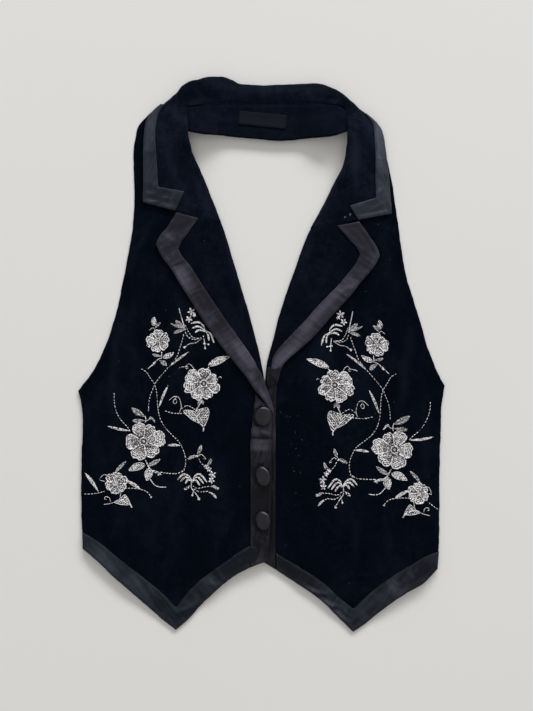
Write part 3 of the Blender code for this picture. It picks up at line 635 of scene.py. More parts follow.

# %% [markdown]
# ## Painted light and shade
# These lines paint light and shade into the cloth's colour. They say where a piece is painted lighter (above
# nought), as a highlight or sheen along a fold, or darker (below), as shade in a crease, along an edge or
# round a button, how strongly and how widely. They become a value on every point of the mesh, which the
# materials read.

# %% Painted light and shade tables
PAINTED_LIGHT = fold_rows({
    "front_right": (
        (0.9, 4, -128, 150, -146, 112, -152, 96), (0.8, 5, -165, 30, -171, -20, -172, -80),
        (0.2, 6, -187, -60, -190, -120, -188, -180), (0.4, 14, -150, 60, -156, 20, -150, -10),
        (0.5, 10, -40, -120, -52, -140, -60, -180), (0.4, 12, -100, 80, -92, 50, -100, 30),
    ),
    "front_left": (
        (0.7, 5, 170, 24, 163, -20, 160, -72), (0.5, 5, 106, -186, 108, -214, 107, -250),
        (0.5, 5, 186, -40, 190, -90, 188, -160), (-0.6, 26, 52, -60, 56, -120, 54, -200),
        (0.5, 8, 140, 130, 148, 96, 160, 60), (0.4, 12, 60, 20, 78, -10, 70, -30),
    ),
    "collar": (
        (0.8, 5, -60, 312, -20, 303, 40, 303, 70, 303), (0.6, 6, -104, 262, -106, 226, -96, 196),
        (0.5, 5, -76, 200, -62, 172, -54, 158), (0.8, 5, 107, 262, 107, 214, 108, 184),
        (0.6, 5, 110, 284, 124, 266, 130, 250), (0.5, 5, 90, 212, 78, 184, 66, 160),
        (0.5, 6, -112, 284, -100, 280, -92, 262),
    ),
    "neck_band": (
        (0.5, 5, -60, 274, -20, 268, 40, 268, 80, 272),
    ),
    "lapel_right": (
        (0.4, 5, -44, 132, -34, 100, -22, 60), (0.4, 6, -60, 110, -52, 84, -36, 50),
    ),
    "lapel_left": (
        (0.5, 5, 58, 132, 46, 100, 32, 60), (0.4, 6, 80, 110, 70, 84, 56, 60),
    ),
    "collar_band_right": (
        (1, 8, -125, 292, -127, 264, -129, 240), (-0.6, 6, -128, 188, -110, 182, -98, 176),
    ),
    "collar_band_left": (
        (1, 8, 130, 288, 135, 258, 139, 226), (-0.4, 6, 140, 172, 124, 168, 110, 162),
    ),
    "lapel_band_right": (
        (-0.5, 9, -88, 156, -96, 146, -100, 138), (0.5, 3, -112, 140, -104, 134, -97, 130),
        (1.2, 6.5, -97, 99, -90, 88, -83, 78), (-0.7, 2.2, -103, 101, -94, 104, -86, 108),
        (-0.3, 8, -76, 92, -58, 60, -44, 34), (1.9, 6.5, -27, 10, -18, 0, -10, -10),
        (0.7, 4, -22, -12, -13, -20, -8, -32), (-0.6, 2.5, -20, -15, -14, -19, -9, -17),
        (0.5, 4, -4, -34, 4, -48, 11, -62),
    ),
    "lapel_band_left": (
        (-0.6, 9, 104, 146, 116, 130, 118, 118), (0.7, 3, 131, 125, 134, 117, 133, 112),
        (-1, 1.6, 86, 86, 92, 82, 99, 79), (0.6, 2.6, 87, 75, 98, 77, 110, 83),
        (1.2, 6, 100, 86, 84, 70, 66, 50), (1.1, 7, 66, 50, 54, 36, 44, 24), (1.5, 6, 40, 12, 27, 1, 15, -14),
    ),
    "front_band_right": (
        (0.7, 2.5, -2, -85, 5, -89, 11, -93), (0.9, 2.8, -13, -99.5, 0, -99.5, 11, -99.5),
        (0.8, 2.8, -13, -104, 0, -104, 11, -104), (0.8, 2.6, -13, -108, 0, -108, 10, -108),
        (-0.9, 1.3, -12, -95.2, 0, -95.6, 12, -95.8), (0.9, 3, -12, -84, -8, -88, -3, -92),
        # Dark arcs round the left side of the three buttons, and a dark line down the ribbon's right edge:
        # painted shadow.
        (-1.2, 1.7, 0, -59.5, -6, -63, -8.8, -71, -6, -79, 1, -82.5),
        (-1.3, 1.8, 0, -126.5, -6, -130, -8, -138, -5, -147, 2, -150),
        (-1.2, 1.7, 0, -179, -5.5, -183, -8, -190, -5, -198, 2, -201),
        (-0.9, 1.5, 12.3, -88, 12.6, -150, 12, -222), (-0.8, 16, 0, -150, 0, -176, 0, -186),
        (-0.2, 10, 0, -206, 0, -230), (0.6, 6, -9, -62, -4, -60),
    ),
    "front_band_left": (
        (1, 5, 15, -76, 16, -92, 16, -108), (-0.5, 8, 14, -160, 14, -220),
    ),
    "hem_band_right": (
        (0.8, 8, -192, -226, -178, -238, -166, -248), (0.6, 6, -150, -258, -138, -272, -128, -284),
        (-0.1, 8, -150, -262, -128, -280, -112, -292), (0.5, 2.6, -98, -294, -86, -291, -74, -284),
        (-0.6, 3, -96, -300, -84, -297, -72, -290), (0.8, 3, -68, -259, -60, -262, -51, -264),
        (0.5, 2.5, -66, -256, -60, -257, -54, -257), (-0.6, 8, -44, -250, -28, -240, -14, -232),
    ),
    "hem_band_left": (
        (-0.5, 8, 20, -238, 34, -248, 46, -258), (1, 2, 52, -267, 64, -272, 76, -274),
        (-0.8, 1.8, 50, -271, 62, -276, 74, -278), (0.8, 2, 68, -281, 80, -286, 91, -289),
        (-0.8, 1.8, 66, -285, 78, -290, 88, -293), (0.9, 2, 84, -294, 94, -302, 104, -307),
        (0.8, 4, 76, -284, 82, -292), (0.8, 5, 146, -262, 152, -268, 158, -274),
        (0.4, 6, 98, -296, 112, -292, 128, -284), (-0.3, 9, 172, -254, 186, -248, 198, -240),
    ),
})


def painted_light_value(node, x, y):
    """How much painted highlight (up to 1) or painted shade (down to -1) the cloth gets at each point."""
    total = np.zeros(x.shape)
    for fold in PAINTED_LIGHT.get(node, ()):
        distance, along = distance_to_line(x, y, smooth_line(fold.points, 4.0))
        strength = np.sin(math.pi * np.clip(along, 0.06, 0.94)) ** 0.5
        total = total + fold.rise * strength * bell(distance, fold.width)
    return np.clip(total, -1.0, 1.0)


print("lustre lines:", sum(len(lines) for lines in PAINTED_LIGHT.values()))

# %% [markdown]
# ## Cutting the cloth
# Each panel is cut to its outline, with a slightly wandering edge, and filled with a triangle net.
# Rings of points close to the edge let the surface roll over it in a quarter circle.

# %% Edges and nets
EDGE_STEP = 1.8
CORNER_TURN = 34.0
RING_SHARES = (0.12, 0.4, 0.75, 1.15)


def wavy_edge(loop, wave, seed):
    """The outline with smooth curves between its corners, and a slow wander of the whole edge."""
    corners = np.where(np.abs(turns_of(loop)) > CORNER_TURN)[0]
    if len(corners) == 0:
        line = smooth_line(loop, EDGE_STEP, closed=True)
    else:
        parts = []
        for first, last in zip(corners, np.append(corners[1:], corners[0] + len(loop))):
            chain = loop[np.arange(first, last + 1) % len(loop)]
            curve = smooth_line(chain, EDGE_STEP) if len(chain) > 2 else resample(chain, EDGE_STEP)
            parts.append(curve[:-1])
        line = np.vstack(parts)
    along = arc_lengths(line)
    fade = np.sin(math.pi * along / along[-1]) ** 0.25
    long_wave, short_wave = wander(along, 41.0, seed), wander(along, 13.0, seed + 3.0)
    shift = wave * fade * (0.65 * long_wave + 0.35 * short_wave)
    return line - inward_of(line) * shift[:, None]


def edge_distance(x, y, loop):
    """Distance inside the loop (negative outside) and the number of the nearest side."""
    best = np.full(x.shape, FAR)
    nearest = np.zeros(x.shape, int)
    inside = np.zeros(x.shape, bool)
    for number, (start, end) in enumerate(zip(loop, np.roll(loop, -1, 0))):
        step = end - start
        _, gap = nearest_on_side(x, y, start, step)
        closer = gap < best
        best = np.where(closer, gap, best)
        nearest = np.where(closer, number, nearest)
        if start[1] != end[1]:
            crosses = (start[1] > y) != (end[1] > y)
            inside ^= crosses & (x < start[0] + (y - start[1]) * step[0] / step[1])
    return np.where(inside, 1.0, -1.0) * np.sqrt(best), nearest


def net_of(edge, spacing, roll):
    """A triangle net over the outline: rings near its edge and an even pattern inside."""
    inward = inward_of(edge)
    rings = []
    for share in RING_SHARES:
        ring = edge + inward * share * roll
        depth, _ = edge_distance(*ring.T, edge)
        rings.append(ring[depth > 0.93 * share * roll])
    low, high = edge.min(0), edge.max(0)
    row_step = spacing * math.sqrt(0.75)
    rows = np.arange(low[1], high[1], row_step)
    columns = np.arange(low[0], high[0] + spacing, spacing)
    x, y = np.meshgrid(columns, rows)
    x = x + 0.5 * spacing * (np.arange(len(rows))[:, None] % 2)
    x, y = x.ravel(), y.ravel()
    depth, _ = edge_distance(x, y, edge)
    keep = depth > RING_SHARES[-1] * roll + 0.55 * spacing
    points = np.vstack([edge, *rings, np.column_stack([x[keep], y[keep]])])
    result = delaunay_2d_cdt([Vector(point) for point in points], [], [list(range(len(edge)))], 1, 1e-6)
    return np.array([tuple(point) for point in result[0]]), np.array(result[2])


def mesh_object(name, points, faces, smooth=True):
    mesh = bpy.data.meshes.new(name)
    corners = [tuple(int(corner) for corner in face) for face in faces]
    mesh.from_pydata([tuple(point * MM) for point in points], [], corners)
    mesh.polygons.foreach_set("use_smooth", [smooth] * len(mesh.polygons))
    mesh.update()
    piece = bpy.data.objects.new(name, mesh)
    bpy.context.scene.collection.objects.link(piece)
    return piece


def carry(piece, name, values):
    """Stores one value on every point of the mesh, for the materials to read."""
    piece.data.attributes.new(name, "FLOAT", "POINT").data.foreach_set("value", values)


print("cutting tools ready; an edge point every", EDGE_STEP, "mm")

# %% [markdown]
# ## How high the cloth lies
# A panel takes its solid's height, plus folds, hills and a plump edge. It stays below whatever lies
# over it, and near a seam it comes down to its neighbour, as sewn cloth does.

# %% Panel heights
CLEARANCE = 0.15
PRESS_REACH = 1.5
PRESS_REACHES = {"lapel_right": -0.4, "lapel_left": -0.4}


def lift_of(node, x, y, depth):
    """What folds, hills and the edge's plumpness add to a panel's height."""
    cut = CUTS[node]
    lift = fold_height(node, x, y) * (0.35 + 0.65 * soft_step(depth / 4.0))
    hills = undulation(x, y, 74.0, cut.seed) + 0.45 * undulation(x, y, 23.0, cut.seed + 2)
    lift = lift + cut.hills * soft_step(depth / 9.0) * hills
    lift = lift + cut.plump * (bell(depth - 2.6, 1.7) - 0.5 * bell(depth - 6.4, 1.8))
    if node in CARRIERS:
        carrier_depth, _ = edge_distance(x, y, OUTLINES[CARRIERS[node]])
        lift = lift + lift_of(CARRIERS[node], x, y, np.maximum(carrier_depth, 0.0))
    return lift


def ceiling_over(node, x, y):
    """How high a panel may rise below the pieces that lie over it, and just outside their edges."""
    ceiling = np.full(x.shape, FAR)
    for cover in COVERS.get(node, ()):
        depth, _ = edge_distance(x, y, OUTLINES[cover])
        over = sample(HEIGHTS[cover].under, x, y) - CLEARANCE
        pressed = depth > -PRESS_REACHES.get(node, PRESS_REACH)
        ceiling = np.where(pressed, np.minimum(ceiling, over), ceiling)
    return ceiling


Seam = namedtuple("Seam", "beside step reach line")
SEAMS = {"collar": (
    Seam("neck_band", 0.15, 18.0,
         (-85.7, 278.8, -83.4, 285.7, -60, 286.5, 0, 287, 70, 287.4, 90, 286.5, 97, 281)),
    Seam("lapel_right", 0.15, 11.0, (-97, 165, -46, 151)),
    Seam("lapel_left", 0.15, 11.0, (102, 158, 71, 147, 57, 145)),
)}
Tuck = namedtuple("Tuck", "above shift")
TUCK_REACH = 1.6
TUCKS = {"lapel_right": Tuck(130.0, (-2.0, 4.2)), "lapel_left": Tuck(130.0, (2.4, 4.2)),
         "neck_band": Tuck(268.0, (0.0, 4.2))}
for node, tuck in TUCKS.items():
    loop = OUTLINES[node]
    gap, _ = edge_distance(*loop.T, OUTLINES["collar"])
    sewn = (gap > -TUCK_REACH) & (loop[:, 1] > tuck.above)
    OUTLINES[node] = loop + np.where(sewn, 1.0, 0.0)[:, None] * tuck.shift


def eased_at_seams(node, x, y, crest, roll):
    """A sewn edge has no cliff: near a seam the crest comes down to the layer beside it."""
    for seam in SEAMS.get(node, ()):
        distance, _ = distance_to_line(x, y, pairs(seam.line))
        share = soft_step(distance / seam.reach)
        level = np.minimum(sample(HEIGHTS[seam.beside].top, x, y) + seam.step, crest)
        crest = level + (crest - level) * share
        roll = roll * (0.08 + 0.92 * share)
    return crest, roll


def panel_top(node, edge, x, y):
    """The height of a panel's upper side, and how deep inside its edge each point is."""
    heights = HEIGHTS[node]
    depth, nearest = edge_distance(x, y, edge)
    depth = np.maximum(depth, 0.0)
    at_edge = edge[nearest]
    crest = sample(heights.top, x, y)
    thickness = sample(heights.top, *at_edge.T) - sample(heights.foot, *at_edge.T)
    roll = np.clip(0.8 * thickness, 0.4, CUTS[node].roll)
    crest, roll = eased_at_seams(node, x, y, crest, roll)
    share = np.clip(1.0 - depth / roll, 0.0, 1.0)
    fall = roll * (1.0 - np.sqrt(np.maximum(1.0 - share * share, 0.0)))
    top = np.minimum(crest + lift_of(node, x, y, depth), ceiling_over(node, x, y))
    return top - fall, depth


print("seams:", len(SEAMS["collar"]), "tucks:", len(TUCKS))

# %% [markdown]
# ## Making the panels
# The net is used twice, for the upper side and the underside, with a narrow wall between them. The
# tables give each panel its own net, edge and plumpness, and say which pieces lie over which.

# %% Cloth panels
WIDEST_RINGS = 2.4
THINNEST = 0.25
Cut = namedtuple("Cut", "seed spacing roll plump wave hills")


def closed_sheet(name, net, triangles, top, under):
    """A net used twice, as the upper side and the underside, with a wall round its edge."""
    count = len(net)
    sides = triangles[:, [0, 1, 1, 2, 2, 0]].reshape(-1, 2)
    keys, number = np.unique(np.sort(sides, axis=1), axis=0, return_counts=True)
    border = {tuple(key) for key in keys[number == 1]}
    faces = [tuple(face) for face in triangles]
    faces += [(c + count, b + count, a + count) for a, b, c in triangles]
    faces += [(b, a, a + count, b + count) for a, b in sides if (min(a, b), max(a, b)) in border]
    return mesh_object(name, np.vstack([np.column_stack([net, top]), np.column_stack([net, under])]), faces)


def cloth_panel(name, node, cut):
    """A closed sheet of cloth on the node's form. Returns the piece and its flat area in square metres."""
    edge = wavy_edge(OUTLINES[node], cut.wave, cut.seed)
    net, triangles = net_of(edge, cut.spacing, min(cut.roll, WIDEST_RINGS))
    x, y = net.T
    top, depth = panel_top(node, edge, x, y)
    foot = sample(HEIGHTS[node].foot, x, y)
    under = foot + (sample(HEIGHTS[node].under, x, y) - foot) * soft_step(depth / 5.0)
    under = np.clip(under, 0.0, None)
    top = np.maximum(top, under + THINNEST)
    piece = closed_sheet(name, net, triangles, top, under)
    # Painted light and shade, carried on every point for the materials to mix into the colour.
    carry(piece, "painted_light", np.tile(painted_light_value(node, x, y), 2))
    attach(piece, "root")
    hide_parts(node)
    corners = net[triangles]
    first, second = corners[:, 1] - corners[:, 0], corners[:, 2] - corners[:, 0]
    area = 0.5 * float(np.abs(first[:, 0] * second[:, 1] - first[:, 1] * second[:, 0]).sum())
    print(name, len(piece.data.polygons), "faces", round(area / 100.0), "square cm")
    return piece, area * MM * MM


FRONT, LAPEL = (2.3, 3.0, 0.30, 0.55, 0.55), (1.8, 4.0, 0.20, 0.35, 0.40)
RIBBON, HEM_RIBBON = (1.3, 0.9, 0.22, 0.30, 0.20), (1.3, 0.9, 0.25, 0.35, 0.22)
SIZES = {
    "front_right": FRONT, "front_left": FRONT, "back": (6.0, 2.0, 0.0, 0.4, 0.3),
    "collar": (1.8, 5.0, 0.25, 0.45, 0.40), "neck_band": (1.8, 5.0, 0.20, 0.40, 0.35),
    "lapel_right": LAPEL, "lapel_left": LAPEL, "lapel_band_right": RIBBON, "lapel_band_left": RIBBON,
    "collar_band_right": RIBBON, "collar_band_left": RIBBON, "front_band_right": RIBBON,
    "front_band_left": (1.3, 0.9, 0.22, 0.30, 0.15), "hem_band_right": HEM_RIBBON,
    "hem_band_left": HEM_RIBBON, "label": (1.0, 0.6, 0.10, 0.15, 0.10),
}
CUTS = {node: Cut(float(seed), *size) for seed, (node, size) in enumerate(SIZES.items(), 1)}
RIBBONS = [node for node in CUTS if "_band_" in node]
CARRIERS = {
    "lapel_band_right": "lapel_right", "lapel_band_left": "lapel_left", "collar_band_right": "collar",
    "collar_band_left": "collar", "front_band_right": "front_right", "front_band_left": "front_left",
    "hem_band_right": "front_right", "hem_band_left": "front_left", "label": "neck_band",
}
COVERS = {
    "front_left": ("front_right", "collar", "lapel_left"),
    "front_right": ("collar", "lapel_right"),
    "front_band_left": ("front_right",),
    "hem_band_left": ("front_right",),
    "neck_band": ("collar",),
    "lapel_right": ("collar",),
    "lapel_left": ("collar",),
    "back": ("front_right", "front_left"),
}
PIECE_NAMES = {"back": "back_panel", "label": "woven_label", "neck_band": "neck_band_inside"}
PANELS, AREAS, EDGES = {}, {}, {}
for node, cut in CUTS.items():
    name = PIECE_NAMES.get(node, node + "_cloth")
    PANELS[node], AREAS[node] = cloth_panel(name, node, cut)
    EDGES[node] = wavy_edge(OUTLINES[node], cut.wave, cut.seed)

# %% [markdown]
# ## Building materials from nodes
# Two small helpers keep the node trees short to read. One adds a node and fills its inputs, either
# with a number or with another node's output. The other opens a node group, which is how an effect
# is written once and then used by several materials.

# %% Node helpers
def fill(tree, node, **inputs):
    """Gives a node's inputs their values. i0 stands for the first input, i1 for the second, and so on."""
    for name, value in inputs.items():
        key = int(name[1:]) if name[0] == "i" and name[1:].isdigit() else name.replace("_", " ")
        if isinstance(value, bpy.types.NodeSocket):
            tree.links.new(value, node.inputs[key])
        else:
            node.inputs[key].default_value = value
    return node


def add_node(tree, kind, settings=None, **inputs):
    node = tree.nodes.new(kind)
    for name, value in (settings or {}).items():
        setattr(node, name, value)
    return fill(tree, node, **inputs)


def maths(tree, operation, first, second=0.0, clamp=False):
    node = add_node(tree, "ShaderNodeMath", {"operation": operation, "use_clamp": clamp}, i0=first, i1=second)
    return node.outputs[0]


def scaled(tree, value, factor):
    return maths(tree, "MULTIPLY", value, factor)


def weighted(tree, first, first_share, second, second_share):
    """A sum of two values, each times its own share."""
    return maths(tree, "ADD", scaled(tree, first, first_share), scaled(tree, second, second_share))


def blend_colours(tree, share, first, second):
    node = add_node(tree, "ShaderNodeMix", {"data_type": "RGBA"}, i0=share, i6=first, i7=second)
    return node.outputs[2]


def spread(tree, value, low, high, new_low=0.0, new_high=1.0):
    node = add_node(tree, "ShaderNodeMapRange", {"interpolation_type": "SMOOTHSTEP"}, Value=value,
                    From_Min=low, From_Max=high, To_Min=new_low, To_Max=new_high)
    return node.outputs[0]


def noise(tree, place, scale, detail=2.0, rough=0.5, twist=0.0):
    node = add_node(tree, "ShaderNodeTexNoise", None, Vector=place, Scale=scale, Detail=detail,
                    Roughness=rough, Distortion=twist)
    return node.outputs[0]


def bands(tree, place, direction, scale, twist):
    """Even stripes across one axis."""
    node = add_node(tree, "ShaderNodeTexWave", {"wave_type": "BANDS", "bands_direction": direction},
                    Vector=place, Scale=scale, Distortion=twist, Detail=1.0)
    return node.outputs[1]


def bumps(tree, height, strength, distance):
    node = add_node(tree, "ShaderNodeBump", None, Height=height, Strength=strength, Distance=distance)
    return node.outputs[0]


def carried(tree, name):
    """A value that the mesh carries at each of its points."""
    return add_node(tree, "ShaderNodeAttribute", {"attribute_name": name}).outputs["Fac"]


def new_group(name, setting, value, outputs):
    """An empty node group that takes a place and one number."""
    group = bpy.data.node_groups.new(name, "ShaderNodeTree")
    group.interface.new_socket("Place", in_out="INPUT", socket_type="NodeSocketVector")
    group.interface.new_socket(setting, in_out="INPUT", socket_type="NodeSocketFloat").default_value = value
    for label in outputs:
        group.interface.new_socket(label, in_out="OUTPUT", socket_type="NodeSocketFloat")
    start, end = group.nodes.new("NodeGroupInput"), group.nodes.new("NodeGroupOutput")
    return group, start.outputs["Place"], start.outputs[setting], end


def use_group(tree, group, **inputs):
    return add_node(tree, "ShaderNodeGroup", {"node_tree": group}, **inputs).outputs


def new_material(name):
    material = bpy.data.materials.new(name)
    material.use_nodes = True
    tree = material.node_tree
    place = tree.nodes.new("ShaderNodeTexCoord").outputs["Object"]
    return material, tree, tree.nodes["Principled BSDF"], place


def rgb(red, green, blue):
    return (red, green, blue, 1.0)


print("node helpers ready")

# %% [markdown]
# ## Three effects that the cloths share
# Pile: velvet is a lawn of short fibres. Where a hand has brushed them they lean together and catch
# the light, so wide soft patches are mixed with a fine mottling. Satin weave: long floats of thread
# run side by side in a slight slant. Wear: a few pale specks of lint and a little fading, broken up
# by noise so that they never look stamped.

# %% Shared node groups
def make_pile_group():
    group, place, reach, end = new_group("pile", "Reach", 26.0, ("Brushed", "Mottle", "Wisps", "Height"))
    stretched = add_node(group, "ShaderNodeMapping", None, Vector=place, Scale=(1.0, 0.55, 1.0)).outputs[0]
    wide = noise(group, stretched, reach, 3.0, 0.55, 0.8)
    near = noise(group, place, 120.0, 3.0, 0.6, 0.4)
    fine = noise(group, place, 900.0, 2.0, 0.6)
    fibre = noise(group, place, 3200.0, 1.0, 0.5)
    mixed = weighted(group, wide, 0.7, near, 0.3)
    speckle = weighted(group, fine, 0.6, fibre, 0.4)
    offset = maths(group, "SUBTRACT", noise(group, place, 88.0, 5.0, 0.72, 0.5), 0.5)
    crushed = maths(group, "ABSOLUTE", offset)
    patches = spread(group, noise(group, place, 24.0, 2.0, 0.5), 0.42, 0.58)
    fill(group, end, Brushed=spread(group, mixed, 0.42, 0.72), Mottle=spread(group, speckle, 0.35, 0.68),
         Wisps=scaled(group, spread(group, crushed, 0.0, 0.055, 1.0, 0.0), patches), Height=speckle)
    return group


def make_weave_group():
    group, place, slant, end = new_group("satin_weave", "Slant", 0.4, ("Streak", "Height"))
    turned = add_node(group, "ShaderNodeVectorRotate", {"rotation_type": "Z_AXIS"}, Vector=place,
                      Angle=slant).outputs[0]
    floats = bands(group, turned, "X", 900.0, 1.2)
    long_way = add_node(group, "ShaderNodeMapping", None, Vector=turned, Scale=(1.0, 0.12, 1.0)).outputs[0]
    streak = noise(group, long_way, 240.0, 3.0, 0.6)
    fill(group, end, Streak=spread(group, streak, 0.35, 0.7),
         Height=maths(group, "ADD", scaled(group, floats, 0.4), streak))
    return group


def make_wear_group():
    group, place, amount, end = new_group("wear", "Amount", 0.5, ("Lint", "Faded"))
    cells = add_node(group, "ShaderNodeTexVoronoi", {"feature": "F1"}, Vector=place, Scale=85.0,
                     Randomness=1.0)
    speck = spread(group, cells.outputs["Distance"], 0.03, 0.06, 1.0, 0.0)
    chosen = spread(group, noise(group, place, 19.0, 2.0, 0.5), 0.60, 0.66)
    fill(group, end, Lint=scaled(group, scaled(group, speck, chosen), amount),
         Faded=spread(group, noise(group, place, 45.0, 4.0, 0.6, 0.6), 0.4, 0.75))
    return group


PILE, WEAVE, WEAR = make_pile_group(), make_weave_group(), make_wear_group()
print("node groups:", [group.name for group in (PILE, WEAVE, WEAR)])

# %% [markdown]
# ## The cloths
# Velvet drinks the light: its base is close to black, and what is seen is mostly the sheen of the fibre tips,
# a little stronger where the pile is brushed. Satin is smoother, so the room's light lies on it in soft
# streaks. The collar, lapel and neck-band velvets are lighter copies of the front velvet, and each ribbon is
# a lighter or darker copy of the same satin: painted light and shade, lighter at the collar and lapels near
# the window, darker down the placket and at the hem.

# %% Velvet and satin
VELVET_LINT = rgb(0.05, 0.052, 0.06)
SATIN_LINT = rgb(0.16, 0.16, 0.18)
SHEEN_TINT = rgb(0.70, 0.76, 1.0)


def make_velvet(name, dark, light, sheen, reach, wisps):
    """Colours are red, green and blue; sheen, reach and wisps say how the pile catches the light."""
    material, tree, shader, place = new_material(name)
    pile = use_group(tree, PILE, Place=place, Reach=reach)
    wear = use_group(tree, WEAR, Place=place, Amount=0.8)
    painted_light = carried(tree, "painted_light")
    # The random brushed pile and the painted light and shade value together lighten or darken the velvet's
    # colour.
    pile_and_painted_light = maths(tree, "ADD", scaled(tree, pile["Brushed"], 0.75), painted_light, clamp=True)
    base = blend_colours(tree, pile_and_painted_light, rgb(*dark), rgb(*light))
    base = blend_colours(tree, scaled(tree, pile["Mottle"], 0.45), base, rgb(*light))
    crushed = rgb(*[2.0 * channel for channel in light])
    base = blend_colours(tree, scaled(tree, pile["Wisps"], wisps), base, crushed)
    base = blend_colours(tree, wear["Lint"], base, VELVET_LINT)
    fill(tree, shader, Base_Color=base, Sheen_Weight=0.8 * sheen, Sheen_Roughness=0.42, Sheen_Tint=SHEEN_TINT,
         Roughness=0.95, Specular_IOR_Level=0.02, Normal=bumps(tree, pile["Height"], 0.5, 0.0006))
    return material


def make_satin(name, dark, light, slant, rough, shine):
    material, tree, shader, place = new_material(name)
    weave = use_group(tree, WEAVE, Place=place, Slant=slant)
    wear = use_group(tree, WEAR, Place=place, Amount=0.5)
    # The painted light and shade value, at a little over half strength, is added to the random fading and the
    # weave's streaks.
    painted_light = scaled(tree, carried(tree, "painted_light"), 0.55)
    tone = maths(tree, "ADD", weighted(tree, wear["Faded"], 0.24, weave["Streak"], 0.20), painted_light, clamp=True)
    base = blend_colours(tree, tone, rgb(*dark), rgb(*light))
    base = blend_colours(tree, wear["Lint"], base, SATIN_LINT)
    gloss = maths(tree, "ADD", rough, scaled(tree, weave["Streak"], 0.10))
    fill(tree, shader, Base_Color=base, Roughness=gloss, Specular_IOR_Level=shine,
         Normal=bumps(tree, weave["Height"], 0.25, 0.0003))
    return material


VELVET = make_velvet("velvet_navy_black", (0.0004, 0.0014, 0.0038), (0.0038, 0.0061, 0.0122),
                     0.024, 26.0, 0.15)
# Painted light: the collar, lapel and neck-band velvets are lighter copies of the front velvet, as they lie
# nearer the window.
TURNED = make_velvet("velvet_collar", (0.0012, 0.0023, 0.0058), (0.009, 0.0117, 0.0216), 0.036, 46.0, 0.26)
LAPELS = make_velvet("velvet_lapels", (0.001, 0.002, 0.005), (0.006, 0.008, 0.0155), 0.028, 40.0, 0.2)
INSIDE = make_velvet("velvet_neck_inside", (0.0016, 0.0028, 0.007), (0.0062, 0.008, 0.015), 0.03, 30.0, 0.2)
LINING = make_satin("lining_black", (0.006, 0.006, 0.008), (0.014, 0.014, 0.018), 0.1, 0.5, 0.25)
# Painted light and shade: each ribbon's satin is a lighter or darker copy, lightest at the collar and lapels
# near the window, darkest down the placket and at the hem.
SATIN_LOOKS = {
    "collar_band_right": ("satin_collar_right", (0.008, 0.011, 0.02), (0.05, 0.058, 0.086), 0.5, 0.42, 0.22),
    "collar_band_left": ("satin_collar_left", (0.014, 0.017, 0.029), (0.088, 0.096, 0.134), -0.5, 0.42, 0.26),
    "lapel_band_right": ("satin_lapel_right", (0.007, 0.007, 0.013), (0.084, 0.08, 0.118), 1.0, 0.42, 0.24),
    "lapel_band_left": ("satin_lapel_left", (0.009, 0.009, 0.016), (0.084, 0.08, 0.116), -1.0, 0.42, 0.24),
    "front_band_right": ("satin_placket_right", (0.005, 0.005, 0.008), (0.072, 0.067, 0.092),
                         0.2, 0.45, 0.12),
    "front_band_left": ("satin_placket_left", (0.004, 0.004, 0.006), (0.04, 0.034, 0.048), 0.2, 0.45, 0.12),
    "hem_band_right": ("satin_hem_right", (0.003, 0.005, 0.009), (0.048, 0.056, 0.078), -0.7, 0.42, 0.16),
    "hem_band_left": ("satin_hem_left", (0.003, 0.004, 0.008), (0.05, 0.056, 0.078), 0.7, 0.42, 0.16),
}
SATINS = {node: make_satin(*look) for node, look in SATIN_LOOKS.items()}
print("cloth materials:", len(bpy.data.materials))

# %% [markdown]
# ## The woven label
# A damask label is woven far finer than cloth, with fine ribs across it and a folded end at each
# side. This one is left blank.

# %% Label material
def make_label_material():
    material, tree, shader, place = new_material("label_woven")
    ribs = bands(tree, place, "Y", 640.0, 0.4)
    grain = noise(tree, place, 1400.0, 2.0, 0.6)
    tone = weighted(tree, ribs, 0.5, grain, 0.5)
    base = blend_colours(tree, tone, rgb(0.0016, 0.0026, 0.0056), rgb(0.009, 0.0115, 0.0185))
    fill(tree, shader, Base_Color=base, Roughness=0.6, Specular_IOR_Level=0.08,
         Normal=bumps(tree, tone, 0.4, 0.0002))
    return material


LABEL_CLOTH = make_label_material()
print("label material:", LABEL_CLOTH.name)

# %% [markdown]
# ## Dressing the panels
# Every panel is given its cloth.

# %% Dress the panels
MATERIALS = {"front_right": VELVET, "front_left": VELVET, "back": LINING, "collar": TURNED,
             "lapel_right": LAPELS, "lapel_left": LAPELS, "neck_band": INSIDE, "label": LABEL_CLOTH, **SATINS}
for node, piece in PANELS.items():
    piece.data.materials.append(MATERIALS[node])
print("dressed:", len(PANELS))

# %% [markdown]
# ## The floor
# A pale, slightly warm board. It is not part of the garment, so the neck bulges further on pass it by.

# %% Floor
FLOOR_HALF = 2400.0


def make_floor():
    material, tree, shader, place = new_material("pale_board")
    cloudy = noise(tree, place, 2.2, 3.0, 0.5)
    grain = noise(tree, place, 160.0, 3.0, 0.6)
    tone = weighted(tree, cloudy, 0.7, grain, 0.3)
    deeper, paler = (rgb(*[share * channel for channel in FLOOR_COLOUR]) for share in (0.975, 1.02))
    fill(tree, shader, Base_Color=blend_colours(tree, tone, deeper, paler), Roughness=0.75,
         Specular_IOR_Level=0.2)
    corners = np.array([(-1, -1, 0), (1, -1, 0), (1, 1, 0), (-1, 1, 0)]) * FLOOR_HALF
    floor = mesh_object("floor", corners, [(0, 1, 2, 3)], smooth=False)
    floor.data.materials.append(material)


make_floor()
print("floor laid")

# %% [markdown]
# ## Silver thread
# The flowers are real thread: fine tubes laid on the velvet, one for each stitch or row. A work
# list collects them as lines with a width, and one mesh is spun from the whole list at the end.
# A line's points may wobble, because metallic thread crimps as it is pulled down into the pile.

# %% Laying threads
CRIMP_LENGTH = 3.0
CRIMP_REACH = 0.38
THREAD_WIDTH = 1.45
THREAD_HEIGHT = 0.80
POINT_STEP = 0.45
ROW_SPACING = 2.1
ROW_TURN = 0.5
Stitch = namedtuple("Stitch", "points width lift shine")


